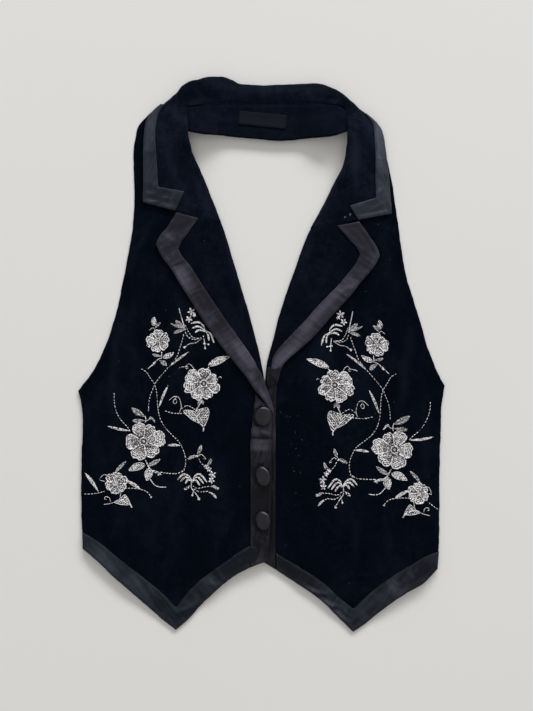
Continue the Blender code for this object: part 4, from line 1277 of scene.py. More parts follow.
def lay(work, points, width=THREAD_WIDTH, lift=0.0, shine=0.85):
    work.append(Stitch(np.asarray(points, float), width, lift, shine))


def crimped(points, chance, reach=CRIMP_REACH):
    """A line that zigzags gently to both sides as it runs."""
    line = resample(points, POINT_STEP)
    phase = chance.uniform(0.0, 2.0 * math.pi)
    length = CRIMP_LENGTH * chance.uniform(0.85, 1.2)
    shift = reach * np.sin(arc_lengths(line) * 2.0 * math.pi / length + phase)
    shift = shift + 0.35 * reach * chance.normal(size=len(line))
    return line + left_of(np.gradient(line, axis=0)) * shift[:, None]


def row_pieces(polygon, angle, offset):
    """Where a straight row at that angle and offset lies inside a polygon, as pairs of ends."""
    along = np.array([math.cos(angle), math.sin(angle)])
    across = np.array([-along[1], along[0]])
    start, end = polygon, np.roll(polygon, -1, 0)
    first, last = start @ across - offset, end @ across - offset
    cuts = np.where((first > 0) != (last > 0))[0]
    share = first[cuts] / (first[cuts] - last[cuts])
    places = np.sort((start[cuts] + share[:, None] * (end[cuts] - start[cuts])) @ along)
    return [(near * along + offset * across, far * along + offset * across)
            for near, far in zip(places[::2], places[1::2])]


def lay_row(work, points, chance, shine=(0.65, 1.0)):
    """One crimped row of a filling."""
    row = crimped(points, chance)
    width = THREAD_WIDTH * chance.uniform(0.85, 1.1)
    lay(work, row, width, chance.uniform(0.0, 0.22), chance.uniform(*shine))


def fill_rows(work, polygon, angle, chance, spacing=ROW_SPACING, inset=0.9, shine=(0.65, 1.0)):
    """Crimped rows side by side, as a machine fills a shape."""
    across = np.array([-math.sin(angle), math.cos(angle)])
    reach = polygon @ across
    for offset in np.arange(reach.min() + inset, reach.max() - 0.6 * inset, spacing):
        for near, far in row_pieces(polygon, angle, offset + chance.uniform(-0.08, 0.08)):
            size = math.hypot(*(far - near))
            if size > 2.2 * inset + 0.6:
                step = (far - near) / size
                lay_row(work, np.array([near + step * inset, far - step * inset]), chance, shine)


def cord_round(work, polygon, chance, width=0.90):
    """A plumper thread that outlines a shape."""
    line = crimped(np.vstack([polygon, polygon[:1]]), chance, 0.10)
    lay(work, line, width, 0.30, 1.0)


def rope(work, points, chance, width=0.74, stitch=2.5, gap=1.2):
    """A vine: long stitches end to end with small gaps, in a slight twist."""
    line = smooth_line(points, 0.5)
    lengths = arc_lengths(line)
    start = 0.0
    while start < lengths[-1] - 1.0:
        end = min(start + stitch * chance.uniform(0.85, 1.15), lengths[-1])
        part = at_stations(line, lengths, np.linspace(start, end, 8))
        ahead = (part[-1] - part[0]) / max(math.hypot(*(part[-1] - part[0])), TINY)
        side = np.array([-ahead[1], ahead[0]]) * 0.16
        part = part + side * np.linspace(-1.0, 1.0, len(part))[:, None]
        lay(work, part, width * chance.uniform(0.9, 1.1), 0.10, 1.0)
        start = end + gap * chance.uniform(0.6, 1.2)


def tendril(work, points, width=0.62):
    lay(work, smooth_line(points, 0.6), width, 0.05)


print("thread tools ready; a crimp every", CRIMP_LENGTH, "mm")

# %% [markdown]
# ## Leaves, petals and knots
# A leaf is sewn in one of three ways: slanted stitches that meet along its midline, long stitches
# that run along it, or rows with a cord round them. A comma is a curled petal, and a knot a coil.

# %% Leaf shapes
SLANT_STEP = 1.15
STAR_RAYS = 5
STEM_WIDTH = 0.95
COMMA_WIDTH = 2.0
BELLY = 0.42
BELLY_POWER = math.log(0.5) / math.log(BELLY)


def leaf_line(base, tip, bend):
    """The midline of a leaf from base to tip, with a sideways bend in millimetres."""
    base, tip = np.asarray(base, float), np.asarray(tip, float)
    ahead = tip - base
    side = np.array([-ahead[1], ahead[0]]) / max(math.hypot(*ahead), TINY)
    return smooth_line([base, base + 0.5 * ahead + bend * side, tip], 0.4)


def half_width(share, width):
    """Half the width of a pointed oval, at a share of the way from its base to its tip."""
    return 0.5 * width * np.sin(math.pi * share**BELLY_POWER) ** 0.85


def leaf_shape(base, tip, width, bend):
    """A pointed oval as a polygon."""
    middle = leaf_line(base, tip, bend)
    side = left_of(np.gradient(middle, axis=0))
    half = half_width(np.linspace(0.0, 1.0, len(middle)), width)
    return np.vstack([middle + side * half[:, None], (middle - side * half[:, None])[-2:0:-1]])


def slant_leaf(work, base, tip, width, bend, chance):
    """Satin stitch: slanted stitches that meet along the midline."""
    middle = leaf_line(base, tip, bend)
    lengths = arc_lengths(middle)
    for place in np.arange(0.3, lengths[-1] - 0.5, SLANT_STEP):
        half = half_width(place / lengths[-1], width)
        centre, later = at_stations(middle, lengths, [place, min(place + 0.3, lengths[-1])])
        ahead = (later - centre) / max(math.hypot(*(later - centre)), TINY)
        side = np.array([-ahead[1], ahead[0]])
        for hand in (-1.0, 1.0):
            reach = max(half * chance.uniform(0.9, 1.1), 0.25)
            outer = centre + hand * side * reach + ahead * (0.5 * reach + 0.5)
            stitch = [centre - ahead * 0.15, 0.5 * (centre + outer), outer]
            lay(work, stitch, 0.72, 0.08 + 0.10 * chance.random(), chance.uniform(0.5, 0.9))


def blade(work, base, tip, width, bend, chance):
    """A slender leaf: long glossy stitches that run nearly along it."""
    middle = leaf_line(base, tip, bend)
    side = left_of(np.gradient(middle, axis=0))
    swell = np.sin(math.pi * np.linspace(0.0, 1.0, len(middle))**1.1) ** 0.8
    count = max(2, int(round(width / 0.80)))
    for number in range(count):
        place = (number + 0.5) / count - 0.5
        line = middle + side * (place * width * swell)[:, None]
        first = int(len(line) * 0.30 * abs(place) * chance.uniform(0.5, 1.2))
        last = len(line) - int(len(line) * 0.34 * abs(place) * chance.uniform(0.5, 1.2))
        lay(work, line[first:last], 0.66, 0.30 * (1.0 - abs(place)), chance.uniform(0.6, 0.95))


def filled_leaf(work, base, tip, width, bend, chance):
    shape = leaf_shape(base, tip, width, bend)
    heading = math.atan2(tip[1] - base[1], tip[0] - base[0])
    fill_rows(work, shape, heading + ROW_TURN, chance, 1.7, 0.8)
    cord_round(work, shape, chance, 0.66)


def comma(work, points, width):
    """A curled petal that is thin at its root and fat near its end."""
    line = smooth_line(points, 0.45)
    side = left_of(np.gradient(line, axis=0))
    swell = 0.5 * width * np.sin(math.pi * np.linspace(0.0, 1.0, len(line))**1.7) ** 0.7
    for hand in (-0.75, 0.0, 0.75):
        lay(work, line + side * (hand * swell)[:, None], 0.66, 0.22 * (1.0 - abs(hand)), 0.95)
    for place in range(3, len(line) - 2, 4):
        reach = side[place] * swell[place]
        lay(work, [line[place] - reach, line[place] + reach], 0.6, 0.25)


def knot(work, centre, radius, chance):
    turns = np.linspace(0.0, 2.4 * 2.0 * math.pi, 22) + chance.uniform(0.0, 6.0)
    reach = radius * np.linspace(0.25, 0.8, len(turns))
    lay(work, centre + polar(turns, reach), 0.7, 0.25)


def star(work, centre, radius, chance):
    start = chance.uniform(0.0, 2.0 * math.pi)
    for ray in range(STAR_RAYS):
        turn = start + ray * 2.0 * math.pi / STAR_RAYS
        away = np.array([math.cos(turn), math.sin(turn)])
        middle = np.asarray(centre, float)
        side = np.array([-away[1], away[0]]) * 0.14 * radius
        for hand in (-1.0, 1.0):
            lay(work, [middle + away * 0.15 * radius, middle + away * 0.6 * radius + hand * side,
                       middle + away * radius], 0.95, 0.12, 1.0)
    knot(work, centre, 0.9, chance)


LEAF_KINDS = {"blade": blade, "slant": slant_leaf, "filled": filled_leaf}
print("leaf kinds:", *LEAF_KINDS)

# %% [markdown]
# ## Blossoms and hearts
# A blossom is a ring of petals over a bed of nearly black rows, painted shade that shows through between the
# threads. Each petal has a direction, a reach and a width of its own, a scalloped rim, an outline cord, a
# narrow dark gap, and crimped rows inside that either follow the rim or run straight across. A heart is a
# leaf of two filled halves with a curled tip.

# %% Petals
Petal = namedtuple("Petal", "direction reach half dent rows")
EYE_RADIUS = 1.6


def petal_rim(petal, places, wobble):
    rim = petal.reach * (1.0 - 0.20 * np.abs(places) ** 2.6)
    rim = rim * (1.0 - petal.dent * bell(places, 0.24))
    return rim * (1.0 + 0.018 * np.sin(9.0 * places + wobble) + 0.010 * np.sin(21.0 * places + 2.0 * wobble))


def petal_points(centre, petal, places, reach):
    return centre + polar(np.radians(petal.direction + places * petal.half), reach)


def sew_petal(work, centre, petal, chance):
    wobble = chance.uniform(0.0, 6.0)
    places = np.linspace(-1.0, 1.0, 41)
    rim = petal_rim(petal, places, wobble)
    outer = petal_points(centre, petal, places * 0.97, rim)
    sides = [petal_points(centre, petal, np.full(9, end), np.linspace(0.96, share, 9) * petal.reach * 0.8)
             for end, share in ((-0.97, chance.uniform(0.25, 0.45)), (0.97, chance.uniform(0.25, 0.6)))]
    rim_cord = smooth_line(np.vstack([sides[0][::-1][:-1:3], outer[1:-1:3], sides[1][1::3]]), 0.7)
    lay(work, crimped(rim_cord, chance, 0.14), 1.25, 0.50, 1.0)
    if petal.rows == "rim":
        depth = petal.reach - 2.0
        while depth > 2.2:
            share = depth / petal.reach
            margin = math.degrees(1.1 / max(depth, 1.0)) / petal.half
            if margin < 0.8:
                along = np.linspace(-1.0 + margin, 1.0 - margin, 21)
                row = petal_points(centre, petal, along, share * petal_rim(petal, along, wobble))
                lay_row(work, row, chance)
            depth -= ROW_SPACING * chance.uniform(0.92, 1.08)
    else:
        root = petal_points(centre, petal, np.array([0.0]), [1.0])
        angle = math.radians(petal.direction + petal.rows)
        fill_rows(work, np.vstack([outer, root]), angle, chance, inset=1.3)


def sew_blossom(work, centre, petals, chance):
    circle = polar(np.linspace(0.0, 2.0 * math.pi, 40), 1.0)
    reach = max(petal.reach for petal in petals)
    # A bed of nearly black rows under the petals: painted shade that shows through the gaps between them.
    painted_shade_bed = np.asarray(centre, float) + circle[:-1] * 0.60 * reach
    fill_rows(work, painted_shade_bed, chance.uniform(0.0, math.pi), chance, 1.5, 0.9, (0.0, 0.12))
    for petal in petals:
        sew_petal(work, centre, petal, chance)
    ring = np.asarray(centre, float) + circle * 0.17 * reach
    lay(work, crimped(ring, chance, 0.4), 1.0, 0.55, 1.0)
    knot(work, centre, EYE_RADIUS, chance)


BLOSSOMS = {
    "high": ((-119, 16), (
        (88, 12.4, 33, 0.1, "rim"), (20, 13, 34, 0.14, 30), (-44, 13.2, 28, 0.08, "rim"),
        (-104, 13.6, 30, 0.1, 70), (-170, 14.2, 34, 0.16, "rim"), (142, 10.8, 20, 0, 20),
    )),
    "middle": ((-66.5, -33.5), (
        (152, 22.2, 33, 0.05, "rim"), (86, 17.6, 32, 0.09, 58), (26, 16.6, 27, 0.06, "rim"),
        (-22, 19.2, 22, 0, "rim"), (-70, 18.2, 25, 0.06, 64), (-120, 20.6, 26, 0.05, "rim"),
        (-166, 23.6, 21, 0.1, 82),
    )),
    "large": ((-135.5, -100), (
        (110, 21.6, 27, 0.05, "rim"), (61, 20.4, 23, 0.05, 74), (10, 25, 28, 0.05, "rim"),
        (-48, 21.6, 30, 0.06, 40), (-112, 22, 31, 0.06, 84), (-178, 20.6, 33, 0.07, "rim"),
    )),
    "low": ((-167.5, -148), (
        (78, 12.6, 34, 0.1, "rim"), (20, 13.8, 24, 0, 60), (-33, 12.8, 29, 0.08, "rim"),
        (-96, 12.4, 33, 0.08, 70), (-160, 12.2, 31, 0.1, "rim"), (138, 12.8, 27, 0.06, 40),
    )),
}


def sew_heart(work, lobes, midrib, tip, chance):
    for number, lobe in enumerate(lobes):
        shape = smooth_line(pairs(lobe), 0.6, closed=True)
        fill_rows(work, shape, 0.9 - 1.7 * number, chance, inset=0.75, shine=(0.35, 0.95))
        cord_round(work, shape, chance, 0.74)
    lay(work, smooth_line(pairs(midrib), 0.6), 0.6, 0.3)
    for side in (-0.35, 0.35):
        lay(work, smooth_line(pairs(tip) + [side, 0.0], 0.6), 0.8, 0.12)


print("blossoms:", {name: len(petals) for name, (centre, petals) in BLOSSOMS.items()})

# %% [markdown]
# ## The design on one front
# Everything is drawn once, for the front on the wearer's right, from what each motif is: a blossom
# here, a leaf from this place to that one, a vine through these places. The lists name each group
# of motifs, so that a single sprig can be moved without hunting through numbers.

# %% Vines, stems and tendrils
VINES = (
    (-89.5, 23, -92, 13.5, -94.5, 5.5, -97.5, -3, -103.5, -11, -108.5, -16.5, -115.5, -24.5, -122, -33,
     -125, -40, -128, -48, -129.5, -56.5, -130, -66.5),
    (-138.5, -16.5, -132.5, -20.5, -128, -27, -123, -34.5, -120.5, -44, -119.5, -56.5, -118.5, -66,
     -116, -75, -111, -84, -103, -92.5, -95, -100.5, -91, -107.5, -87.5, -118, -87.5, -127.5,
     -89.5, -134.5),
    (-169, -44.5, -168.5, -57.5, -166, -67.5, -161, -76, -154.5, -83, -150, -90),
    (-111, -65, -102.5, -67.5, -92, -68, -86, -67), (-92, -62.5, -86, -59, -81, -60.5, -76.5, -63.5),
    (-88, 34, -84, 26, -79, 19.5, -70.5, 18), (-88, 26, -84, 19.5, -76.5, 17, -69.5, 19.5),
    (-79, -151, -73.5, -154, -63, -152, -54.5, -152), (-78, -154.5, -71, -158, -62, -157.5, -57.5, -160.5),
    (-57.5, -145, -57, -140, -59.5, -134.5, -62.5, -131, -65.5, -128.5, -70, -124, -73, -118),
    (-116, -135.5, -109, -136.5, -98, -137, -91, -134.5),
    (-207.5, -160, -198, -160.5, -188.5, -159.5, -180.5, -157.5),
    (-157, -154, -147.5, -154, -138, -155.5, -132, -158, -127, -163.5),
    (-82, -151, -87.5, -153.5, -85.5, -155.5),
)
STEMS = (
    (-115, 3, -115, -0.5, -115, -5), (-116, -4.5, -120, -6.5, -124, -10.5, -131, -17),
    (-70.5, -57, -73.5, -61.5, -76, -65), (-88.5, 30.5, -91.5, 40.5, -93.5, 47, -95, 53),
    (-134, -70, -133, -74.5, -133.5, -79), (-133.5, -121.5, -130, -128.5, -129.5, -133),
    (-131, -126.5, -126.5, -133.5, -119.5, -136.5, -116, -135.5),
    (-132.2, -125, -127.5, -132.2, -120.2, -134.8, -115, -138.5),
    (-128.5, -143, -123, -150, -117, -152.5, -109.5, -152.5), (-161.5, -158, -162.5, -164),
    (-67, 21.5, -65.5, 13.5, -65, 7.5), (-66.5, 12.5, -61, 11.5),
    (-80.5, -146.5, -80.5, -153.5, -77, -158, -72, -165.5), (-78, -157, -79.5, -161.5),
    (-60.5, -14.5, -63, -18),
)
TENDRILS = (
    (-77.5, -17.5, -80.5, -13, -84, -11, -86.5, -13.5, -87, -16, -85, -16.5, -85.5, -14, -91, -14.5,
     -95, -15.5),
    (-94.5, -67, -92.5, -62, -92.5, -57.5, -95, -50, -100.5, -48.5, -106.5, -53),
    (-99.5, -51.5, -97.5, -53, -98, -56, -100.5, -56.5, -101.5, -54, -100, -51.5, -98, -49.5),
    (-49.5, -27, -47.5, -25.5, -46, -27.5),
    (-133.5, -77, -129.5, -75, -128, -72, -125.5, -73.5, -123.5, -77.5),
    (-180, -146, -186, -144, -181.5, -138.5, -175.5, -139.5), (-73, -117, -69, -115, -64, -120, -67, -119.5),
    (-173.5, -169.5, -175, -165, -179, -163.5, -180.5, -166, -178, -167),
    (-181.5, -172.5, -173.5, -171.5, -168.5, -169.5), (-122, 27, -125, 30.5, -129.5, 27.5),
    (-68.5, 18.5, -75.5, 13.5, -83, 12, -88.5, 8),
)
print("lines drawn:", len(VINES), "vines,", len(STEMS), "stems,", len(TENDRILS), "tendrils")

# %% [markdown]
# ## Leaves, hearts and small flowers
# A leaf has a kind, a base, a tip, a width and a bend. Hearts are drawn as two lobes, a midrib and
# a curled tip. Knots and stars are places with a radius.

# %% Leaves, hearts and small flowers
LEAVES = (
    ("filled", (-124, 33), (-123.5, 43), 5.4, 0.3), ("slant", (-122.5, 30), (-116.5, 36.5), 3.7, 0.6),
    ("filled", (-113.5, -3.5), (-101, 2), 5.4, -0.8), ("slant", (-115.5, -2), (-126, 0.5), 3.5, 0.8),
    ("slant", (-117.5, -7), (-109.5, -13), 5.4, 0.6), ("slant", (-121, -7), (-126, -13), 3, 0),
    ("filled", (-61, -13), (-36.5, -2.5), 7.6, 0.8), ("blade", (-104.5, -13), (-83.5, 3), 2.5, 0.5),
    ("blade", (-118, -61), (-107, -35), 2.9, 0.6), ("blade", (-151, -88), (-177, -82.5), 2.9, 0.6),
    ("blade", (-93, -105), (-108, -104.5), 3, -0.6), ("slant", (-89, 30.5), (-99, 39), 5.5, 0.5),
    ("slant", (-89.5, 30), (-104.5, 35.5), 2.9, 0.6), ("slant", (-89, 28), (-101.5, 24), 4, -0.5),
    ("slant", (-57.5, -151), (-49.5, -155), 3.5, 0.3), ("blade", (-58.5, -158.5), (-51.5, -165.5), 2.7, 0.3),
    ("slant", (-63.5, -128.5), (-57.5, -119.5), 3.7, -1), ("slant", (-73.5, -115), (-69, -104.5), 4.5, -0.3),
    ("slant", (-74, -116), (-85, -120.5), 4.2, -0.4), ("slant", (-134, -71.5), (-149, -61.5), 6.7, 0.8),
    ("slant", (-134.5, -76), (-148.5, -76), 5.4, 0.8), ("slant", (-129.5, -73.5), (-122.5, -78), 2.5, 1.6),
    ("filled", (-134, -127), (-152.5, -133.5), 8.1, -1),
    ("slant", (-131.5, -128.5), (-116.5, -120.5), 5.4, -0.5),
    ("slant", (-115, -135), (-119.5, -139.5), 2.5, 0), ("slant", (-168.5, -136), (-155.5, -123), 4, 0.4),
    ("blade", (-187.5, -157.5), (-203, -136), 3.7, -0.6), ("blade", (-156.5, -144.5), (-139, -155), 3.9, 0.6),
    ("filled", (-128, -131), (-132, -145), 8.7, 0), ("slant", (-73, -58.5), (-69.5, -52.5), 4.6, 0),
    ("slant", (-66.5, -58), (-69.5, -52.5), 3.8, 0),
)
COMMAS = (
    (-65.5, 27, -67, 33, -73, 37, -81.5, 35.5), (-65.5, 26.5, -69, 30.5, -74.5, 32, -80.5, 29.5),
    (-65.5, 26, -69, 27.5, -73, 27.5, -76.5, 25), (-64.5, 27, -61.5, 22.5, -60.5, 15.5),
    (-64, 27.5, -58.5, 23.5, -54.5, 13), (-79.5, -145, -84, -139.5, -90, -138, -96.5, -144),
    (-79.5, -145, -84, -142, -88, -141.5, -93, -146),
    (-79.5, -145.5, -83, -144.5, -85.5, -145, -87.5, -148.5),
    (-79, -145, -76.5, -139.5, -70.5, -138, -62.5, -147),
    (-79, -145, -75.5, -141.5, -72, -142, -66.5, -148.5),
    (-79, -145.5, -76.5, -144.5, -74, -146, -71, -150.5),
)
KNOTS = (
    (-88.5, 8, 1.7), (-65, 7, 1.2), (-61, 11.5, 1), (-66.5, 12.5, 1), (-72, -166, 1.9), (-79.5, -162, 1.1),
    (-127, -164, 1.1), (-88.5, 29, 1.4), (-65, 27, 1.8), (-79.5, -145.5, 2), (-74, -117, 1.2),
    (-50, -154, 1.4), (-88, -155, 1), (-84, -153, 0.9), (-91, -134.5, 1),
)
STARS = (
    (-80.5, 49, 5), (-83.5, 40.5, 4.2), (-77.5, 45, 2.4), (-56.5, -138.5, 4.6), (-60.5, -132, 3.2),
    (-57.5, -145, 3.8), (-64, -129, 2.4),
)
HEART_HIGH = (
    (
        (-75.5, -66, -70, -63, -62.5, -61.5, -60.5, -65.5, -60.5, -70, -63.5, -78, -66, -82.5, -70.5, -79,
         -73.5, -74.5),
        (-76, -67, -82, -64.5, -89, -64.5, -88.5, -67.5, -85, -70.5, -81.5, -74, -76.5, -77, -71.5, -79,
         -74.5, -74.5),
    ),
    (-75.8, -66, -74.5, -72, -71, -79), (-70.5, -79.5, -67.5, -82.5, -66.5, -85, -67, -88.5),
)
HEART_LOW = (
    (
        (-169, -170, -163.5, -167.5, -158.5, -169.5, -152, -172.5, -158, -173, -164, -172),
        (-163.5, -167, -160, -163.5, -157, -161.5, -154, -165, -151.5, -170, -151, -173, -156, -170.5),
    ),
    (-162, -167, -156, -170, -151, -173), (-152, -171.5, -150, -174, -149, -176.5),
)
print("leaves:", len(LEAVES), "knots:", len(KNOTS), "stars:", len(STARS))

# %% [markdown]
# ## Moving the design to the other front
# The second front carries the same design, mirrored. Cloth shifts as it is laid out, so the mirror
# is not exact. A few pairs of places, one on each front, say how far each part of the design has
# moved, and every point moves by a mean of those pairs that counts the nearest ones most.

# %% Mirror with pairs
PAIRS = (
    (-119, 16, 132.5, 11.5), (-68.5, -34.5, 86.5, -36), (-133.5, -100, 151.5, -109.5),
    (-168, -148, 181, -159), (-95, 53, 104, 50), (-79.5, -145, 93.5, -151), (-67, -86, 82.5, -91.5),
    (-169, -44.5, 195.5, -55), (-123, -34, 140, -41), (-138.5, -16.5, 154, -22), (-83.5, 3, 98, 0.5),
    (-89.5, -134.5, 102.5, -139.5), (-124, 38, 136, 34), (-176, -83, 197.5, -95.5), (-72, -110, 86, -113),
    (-202.5, -136.5, 204.5, -163.5), (-103.5, 35, 115.5, 32), (-142, -130, 157.5, -140.5),
    (-162, -128.5, 177.5, -140), (-127, -163.5, 140.5, -173), (-72, -165.5, 85, -176),
    (-150, -173, 163.5, -185),
)
PAIR_REACH = 22.0


def mirrored(points):
    rights, lefts = np.hsplit(np.array(PAIRS, float), 2)
    moves = lefts - rights * [-1.0, 1.0]
    gaps = points[:, None, :] - rights[None, :, :]
    weights = 1.0 / ((gaps**2).sum(2) + PAIR_REACH**2) ** 2
    weights = weights / weights.sum(1, keepdims=True)
    return points * [-1.0, 1.0] + weights @ moves


moved = mirrored(np.array([(-119.0, 16.0)]))[0]
print("the highest blossom goes to", moved.round(1))

# %% [markdown]
# ## Sewing it all
# The same list of motifs is sewn for each front. Each line of thread then takes the height of the
# velvet under it. Long lists make one heavy mesh, so the blossoms, the leaves and the vines are
# three pieces on each front.

# %% Spin the threads into meshes
RING = np.array([(1.0, 0.0), (0.0, 1.0), (-1.0, 0.0), (0.0, -1.0)])
SEATED = 0.16
END_TAPER = 0.45
EDGE_GUARD = 1.5
SHADED_STITCH_CHANCE = 0.10


def tube_points(line, wide, tall, middle):
    """Four points round every point of a line: at its right, above it, at its left and below it."""
    side = left_of(np.gradient(line, axis=0))
    ring = np.zeros((len(line), 4, 3))
    ring[:, :, :2] = line[:, None, :] + side[:, None, :] * (wide[:, None] * RING[:, 0])[:, :, None]
    ring[:, :, 2] = middle[:, None] + tall[:, None] * RING[:, 1]
    return ring.reshape(-1, 3)


def tube_faces(base, count):
    """The faces along a tube of that many rings, whose first point has the number base."""
    first = base + 4 * np.arange(count - 1)[:, None]
    corner = np.arange(4)
    after = (corner + 1) % 4
    return np.stack([first + corner, first + 4 + corner, first + 4 + after, first + after], 2).reshape(-1, 4)


def velvet_height(node, points):
    x, y = points.T
    depth, _ = edge_distance(x, y, EDGES[node])
    return sample(HEIGHTS[node].top, x, y) + lift_of(node, x, y, np.maximum(depth, 0.0)), depth


def spin(name, node, work):
    """One mesh of tubes from a list of threads, laid on the node's velvet and cut off at its edge."""
    lines = [stitch.points if node == "front_right" else mirrored(stitch.points) for stitch in work]
    starts = np.concatenate([[0], np.cumsum([len(line) for line in lines])])
    flat = np.vstack(lines)
    height, depth = velvet_height(node, flat)
    points, faces, glints = [], [], []
    base = 0
    chance = np.random.default_rng(len(work))
    for stitch, start, end in zip(work, starts, starts[1:]):
        count = end - start
        phase, dull = chance.uniform(0.0, 6.3), chance.random(count)
        if (depth[start:end] < EDGE_GUARD).any() or count < 2:
            continue
        # Painted glints: each stitch's shine with a slow ripple along it, and a few points dimmed to painted
        # shade.
        glint = stitch.shine * (0.88 + 0.12 * np.sin(1.1 * np.arange(count) + phase))
        glints.append(np.repeat(np.where(dull < SHADED_STITCH_CHANCE, 0.45 * glint, glint), 4))
        taper = np.ones(count)
        taper[[0, -1]] = END_TAPER
        points.append(tube_points(flat[start:end], 0.5 * stitch.width * taper, 0.5 * THREAD_HEIGHT * taper,
                                  height[start:end] + SEATED + stitch.lift))
        faces.append(tube_faces(base, count))
        last = base + 4 * count - 4
        faces.append(np.array([[base, base + 1, base + 2, base + 3], [last + 3, last + 2, last + 1, last]]))
        base += 4 * count
    piece = mesh_object(name, np.vstack(points), np.vstack(faces))
    carry(piece, "glint", np.concatenate(glints))
    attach(piece, "root")
    print(name, "threads:", len(work), "triangles:", 2 * sum(len(part) for part in faces))
    return piece


def sew_design(seed):
    chance = np.random.default_rng(seed)
    blossoms, leaves, vines = [], [], []
    for centre, petals in BLOSSOMS.values():
        sew_blossom(blossoms, centre, [Petal(*petal) for petal in petals], chance)
    for vine in VINES:
        rope(vines, pairs(vine), chance)
    for stem in STEMS:
        tendril(vines, pairs(stem), STEM_WIDTH)
    for line in TENDRILS:
        tendril(vines, pairs(line))
    for sew, motifs in ((LEAF_KINDS[leaf[0]], leaf[1:]) for leaf in LEAVES):
        sew(leaves, *motifs, chance)
    for heart in (HEART_HIGH, HEART_LOW):
        sew_heart(leaves, *heart, chance)
    for petal in COMMAS:
        comma(leaves, pairs(petal), COMMA_WIDTH)
    for x, y, radius in KNOTS:
        knot(vines, (x, y), radius, chance)
    for x, y, radius in STARS:
        star(vines, (x, y), radius, chance)
    return {"blossoms": blossoms, "leaves": leaves, "vines": vines}


SILVER_PIECES = []
for side, seed in (("right", 11), ("left", 12)):
    for kind, work in sew_design(seed).items():
        SILVER_PIECES.append(spin("silver_" + kind + "_" + side, "front_" + side, work))

# %% [markdown]
# ## Metallic thread
# Silver thread is foil wound round a core. It is bright and slightly pink. Its glints, and the tiny dark
# breaks where the foil turns away, are painted light and shade: a glint value on each stitch, broken by a
# fine noise along the stitches, mixes its colour between near black and white.

# %% Silver material
def make_silver():
    material, tree, shader, place = new_material("silver_thread")
    worked = carried(tree, "glint")
    # Painted glints and shade: the stitch's glint value, times a fine fleck noise, mixes the colour between
    # near black and white.
    fleck = spread(tree, noise(tree, place, 460.0, 2.0, 0.65), 0.35, 0.53)
    glint = maths(tree, "MULTIPLY", worked, maths(tree, "ADD", 0.05, scaled(tree, fleck, 1.58)), clamp=True)
    patch = spread(tree, noise(tree, place, 130.0, 3.0, 0.6), 0.40, 0.7)
    base = blend_colours(tree, glint, rgb(0.02, 0.018, 0.024), rgb(1.0, 0.97, 0.98))
    base = blend_colours(tree, scaled(tree, patch, 0.08), base, rgb(0.72, 0.66, 0.60))
    facet = noise(tree, place, 520.0, 1.0, 0.5)
    fill(tree, shader, Base_Color=base, Metallic=0.16, Roughness=0.28, Normal=bumps(tree, facet, 1.0, 0.0012))
    return material


SILVER = make_silver()
for piece in SILVER_PIECES:
    piece.data.materials.append(SILVER)
print("silver pieces:", [piece.name for piece in SILVER_PIECES])

# %% [markdown]
# ## Covered buttons
# Each button is a dome covered in the same satin: a rolled rim, a sloping shoulder and a low crown. Small
# gathers run down the side. A button on a shank
# never sits quite level, so each has its own lean, and it looks a little narrower for it.

# %% Buttons
BUTTON_PROFILE = pairs((0.0, 0.90, 0.5, 0.96, 1.1, 1.0, 1.6, 0.99, 2.1, 0.95, 2.7, 0.87, 3.15, 0.80,
                        3.4, 0.74, 3.5, 0.68, 3.62, 0.56, 3.80, 0.38, 3.88, 0.22, 3.9, 0.08))
BUTTON_TURNS = 56
Button = namedtuple("Button", "node wide tall turn lean_across lean_along")
BUTTONS = (
    Button("button_1", 9.9, 11.0, -6.0, -7.0, 4.0),
    Button("button_2", 8.3, 11.4, 17.0, 11.0, -5.0),
    Button("button_3", 8.6, 10.8, 10.0, 8.0, -3.0),
)


def make_button(button):
    low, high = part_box(button.node)
    centre = np.array([(low.x + high.x) / 2, (low.y + high.y) / 2, low.z]) / MM
    turns = np.linspace(0.0, 2.0 * math.pi, BUTTON_TURNS, endpoint=False)
    gathers = 0.018 * np.sin(17.0 * turns + 1.0) + 0.010 * np.sin(29.0 * turns)
    rings = []
    for number, (height, reach) in enumerate(BUTTON_PROFILE):
        pull = max(0.0, 1.0 - number / 4.0)
        share = reach * (1.0 + gathers * pull)
        rings.append(np.column_stack([
            np.cos(turns) * share * button.wide, np.sin(turns) * share * button.tall,
            np.full(BUTTON_TURNS, height)]))
    points = np.vstack(rings + [[(0.0, 0.0, 3.9)], [(0.0, 0.0, 0.0)]])
    spin_z, lean_x, lean_y = np.radians([button.turn, button.lean_along, button.lean_across]).tolist()
    across = points[:, 0] * math.cos(spin_z) - points[:, 1] * math.sin(spin_z)
    along = points[:, 0] * math.sin(spin_z) + points[:, 1] * math.cos(spin_z)
    height = points[:, 2] + across * math.sin(lean_y) + along * math.sin(lean_x)
    height = np.maximum(height - height.min() * 0.55, 0.0)
    placed = np.column_stack([across * math.cos(lean_y), along * math.cos(lean_x), height]) + centre
    faces = []
    last = (len(BUTTON_PROFILE) - 1) * BUTTON_TURNS
    for turn in range(BUTTON_TURNS):
        after = (turn + 1) % BUTTON_TURNS
        faces += [(ring + turn, ring + after, ring + BUTTON_TURNS + after, ring + BUTTON_TURNS + turn)
                  for ring in range(0, last, BUTTON_TURNS)]
        faces += [(last + turn, last + after, len(points) - 2), (after, turn, len(points) - 1)]
    piece = mesh_object(button.node + "_covered", placed, faces)
    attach(piece, "root")
    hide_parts(button.node)
    piece.data.materials.append(BUTTON_SATIN)
    return piece


BUTTON_SATIN = make_satin("satin_buttons", (0.006, 0.005, 0.008), (0.036, 0.032, 0.043), 0.3, 0.27, 0.34)
COVERED = [make_button(button) for button in BUTTONS]
print("buttons:", [piece.name for piece in COVERED])

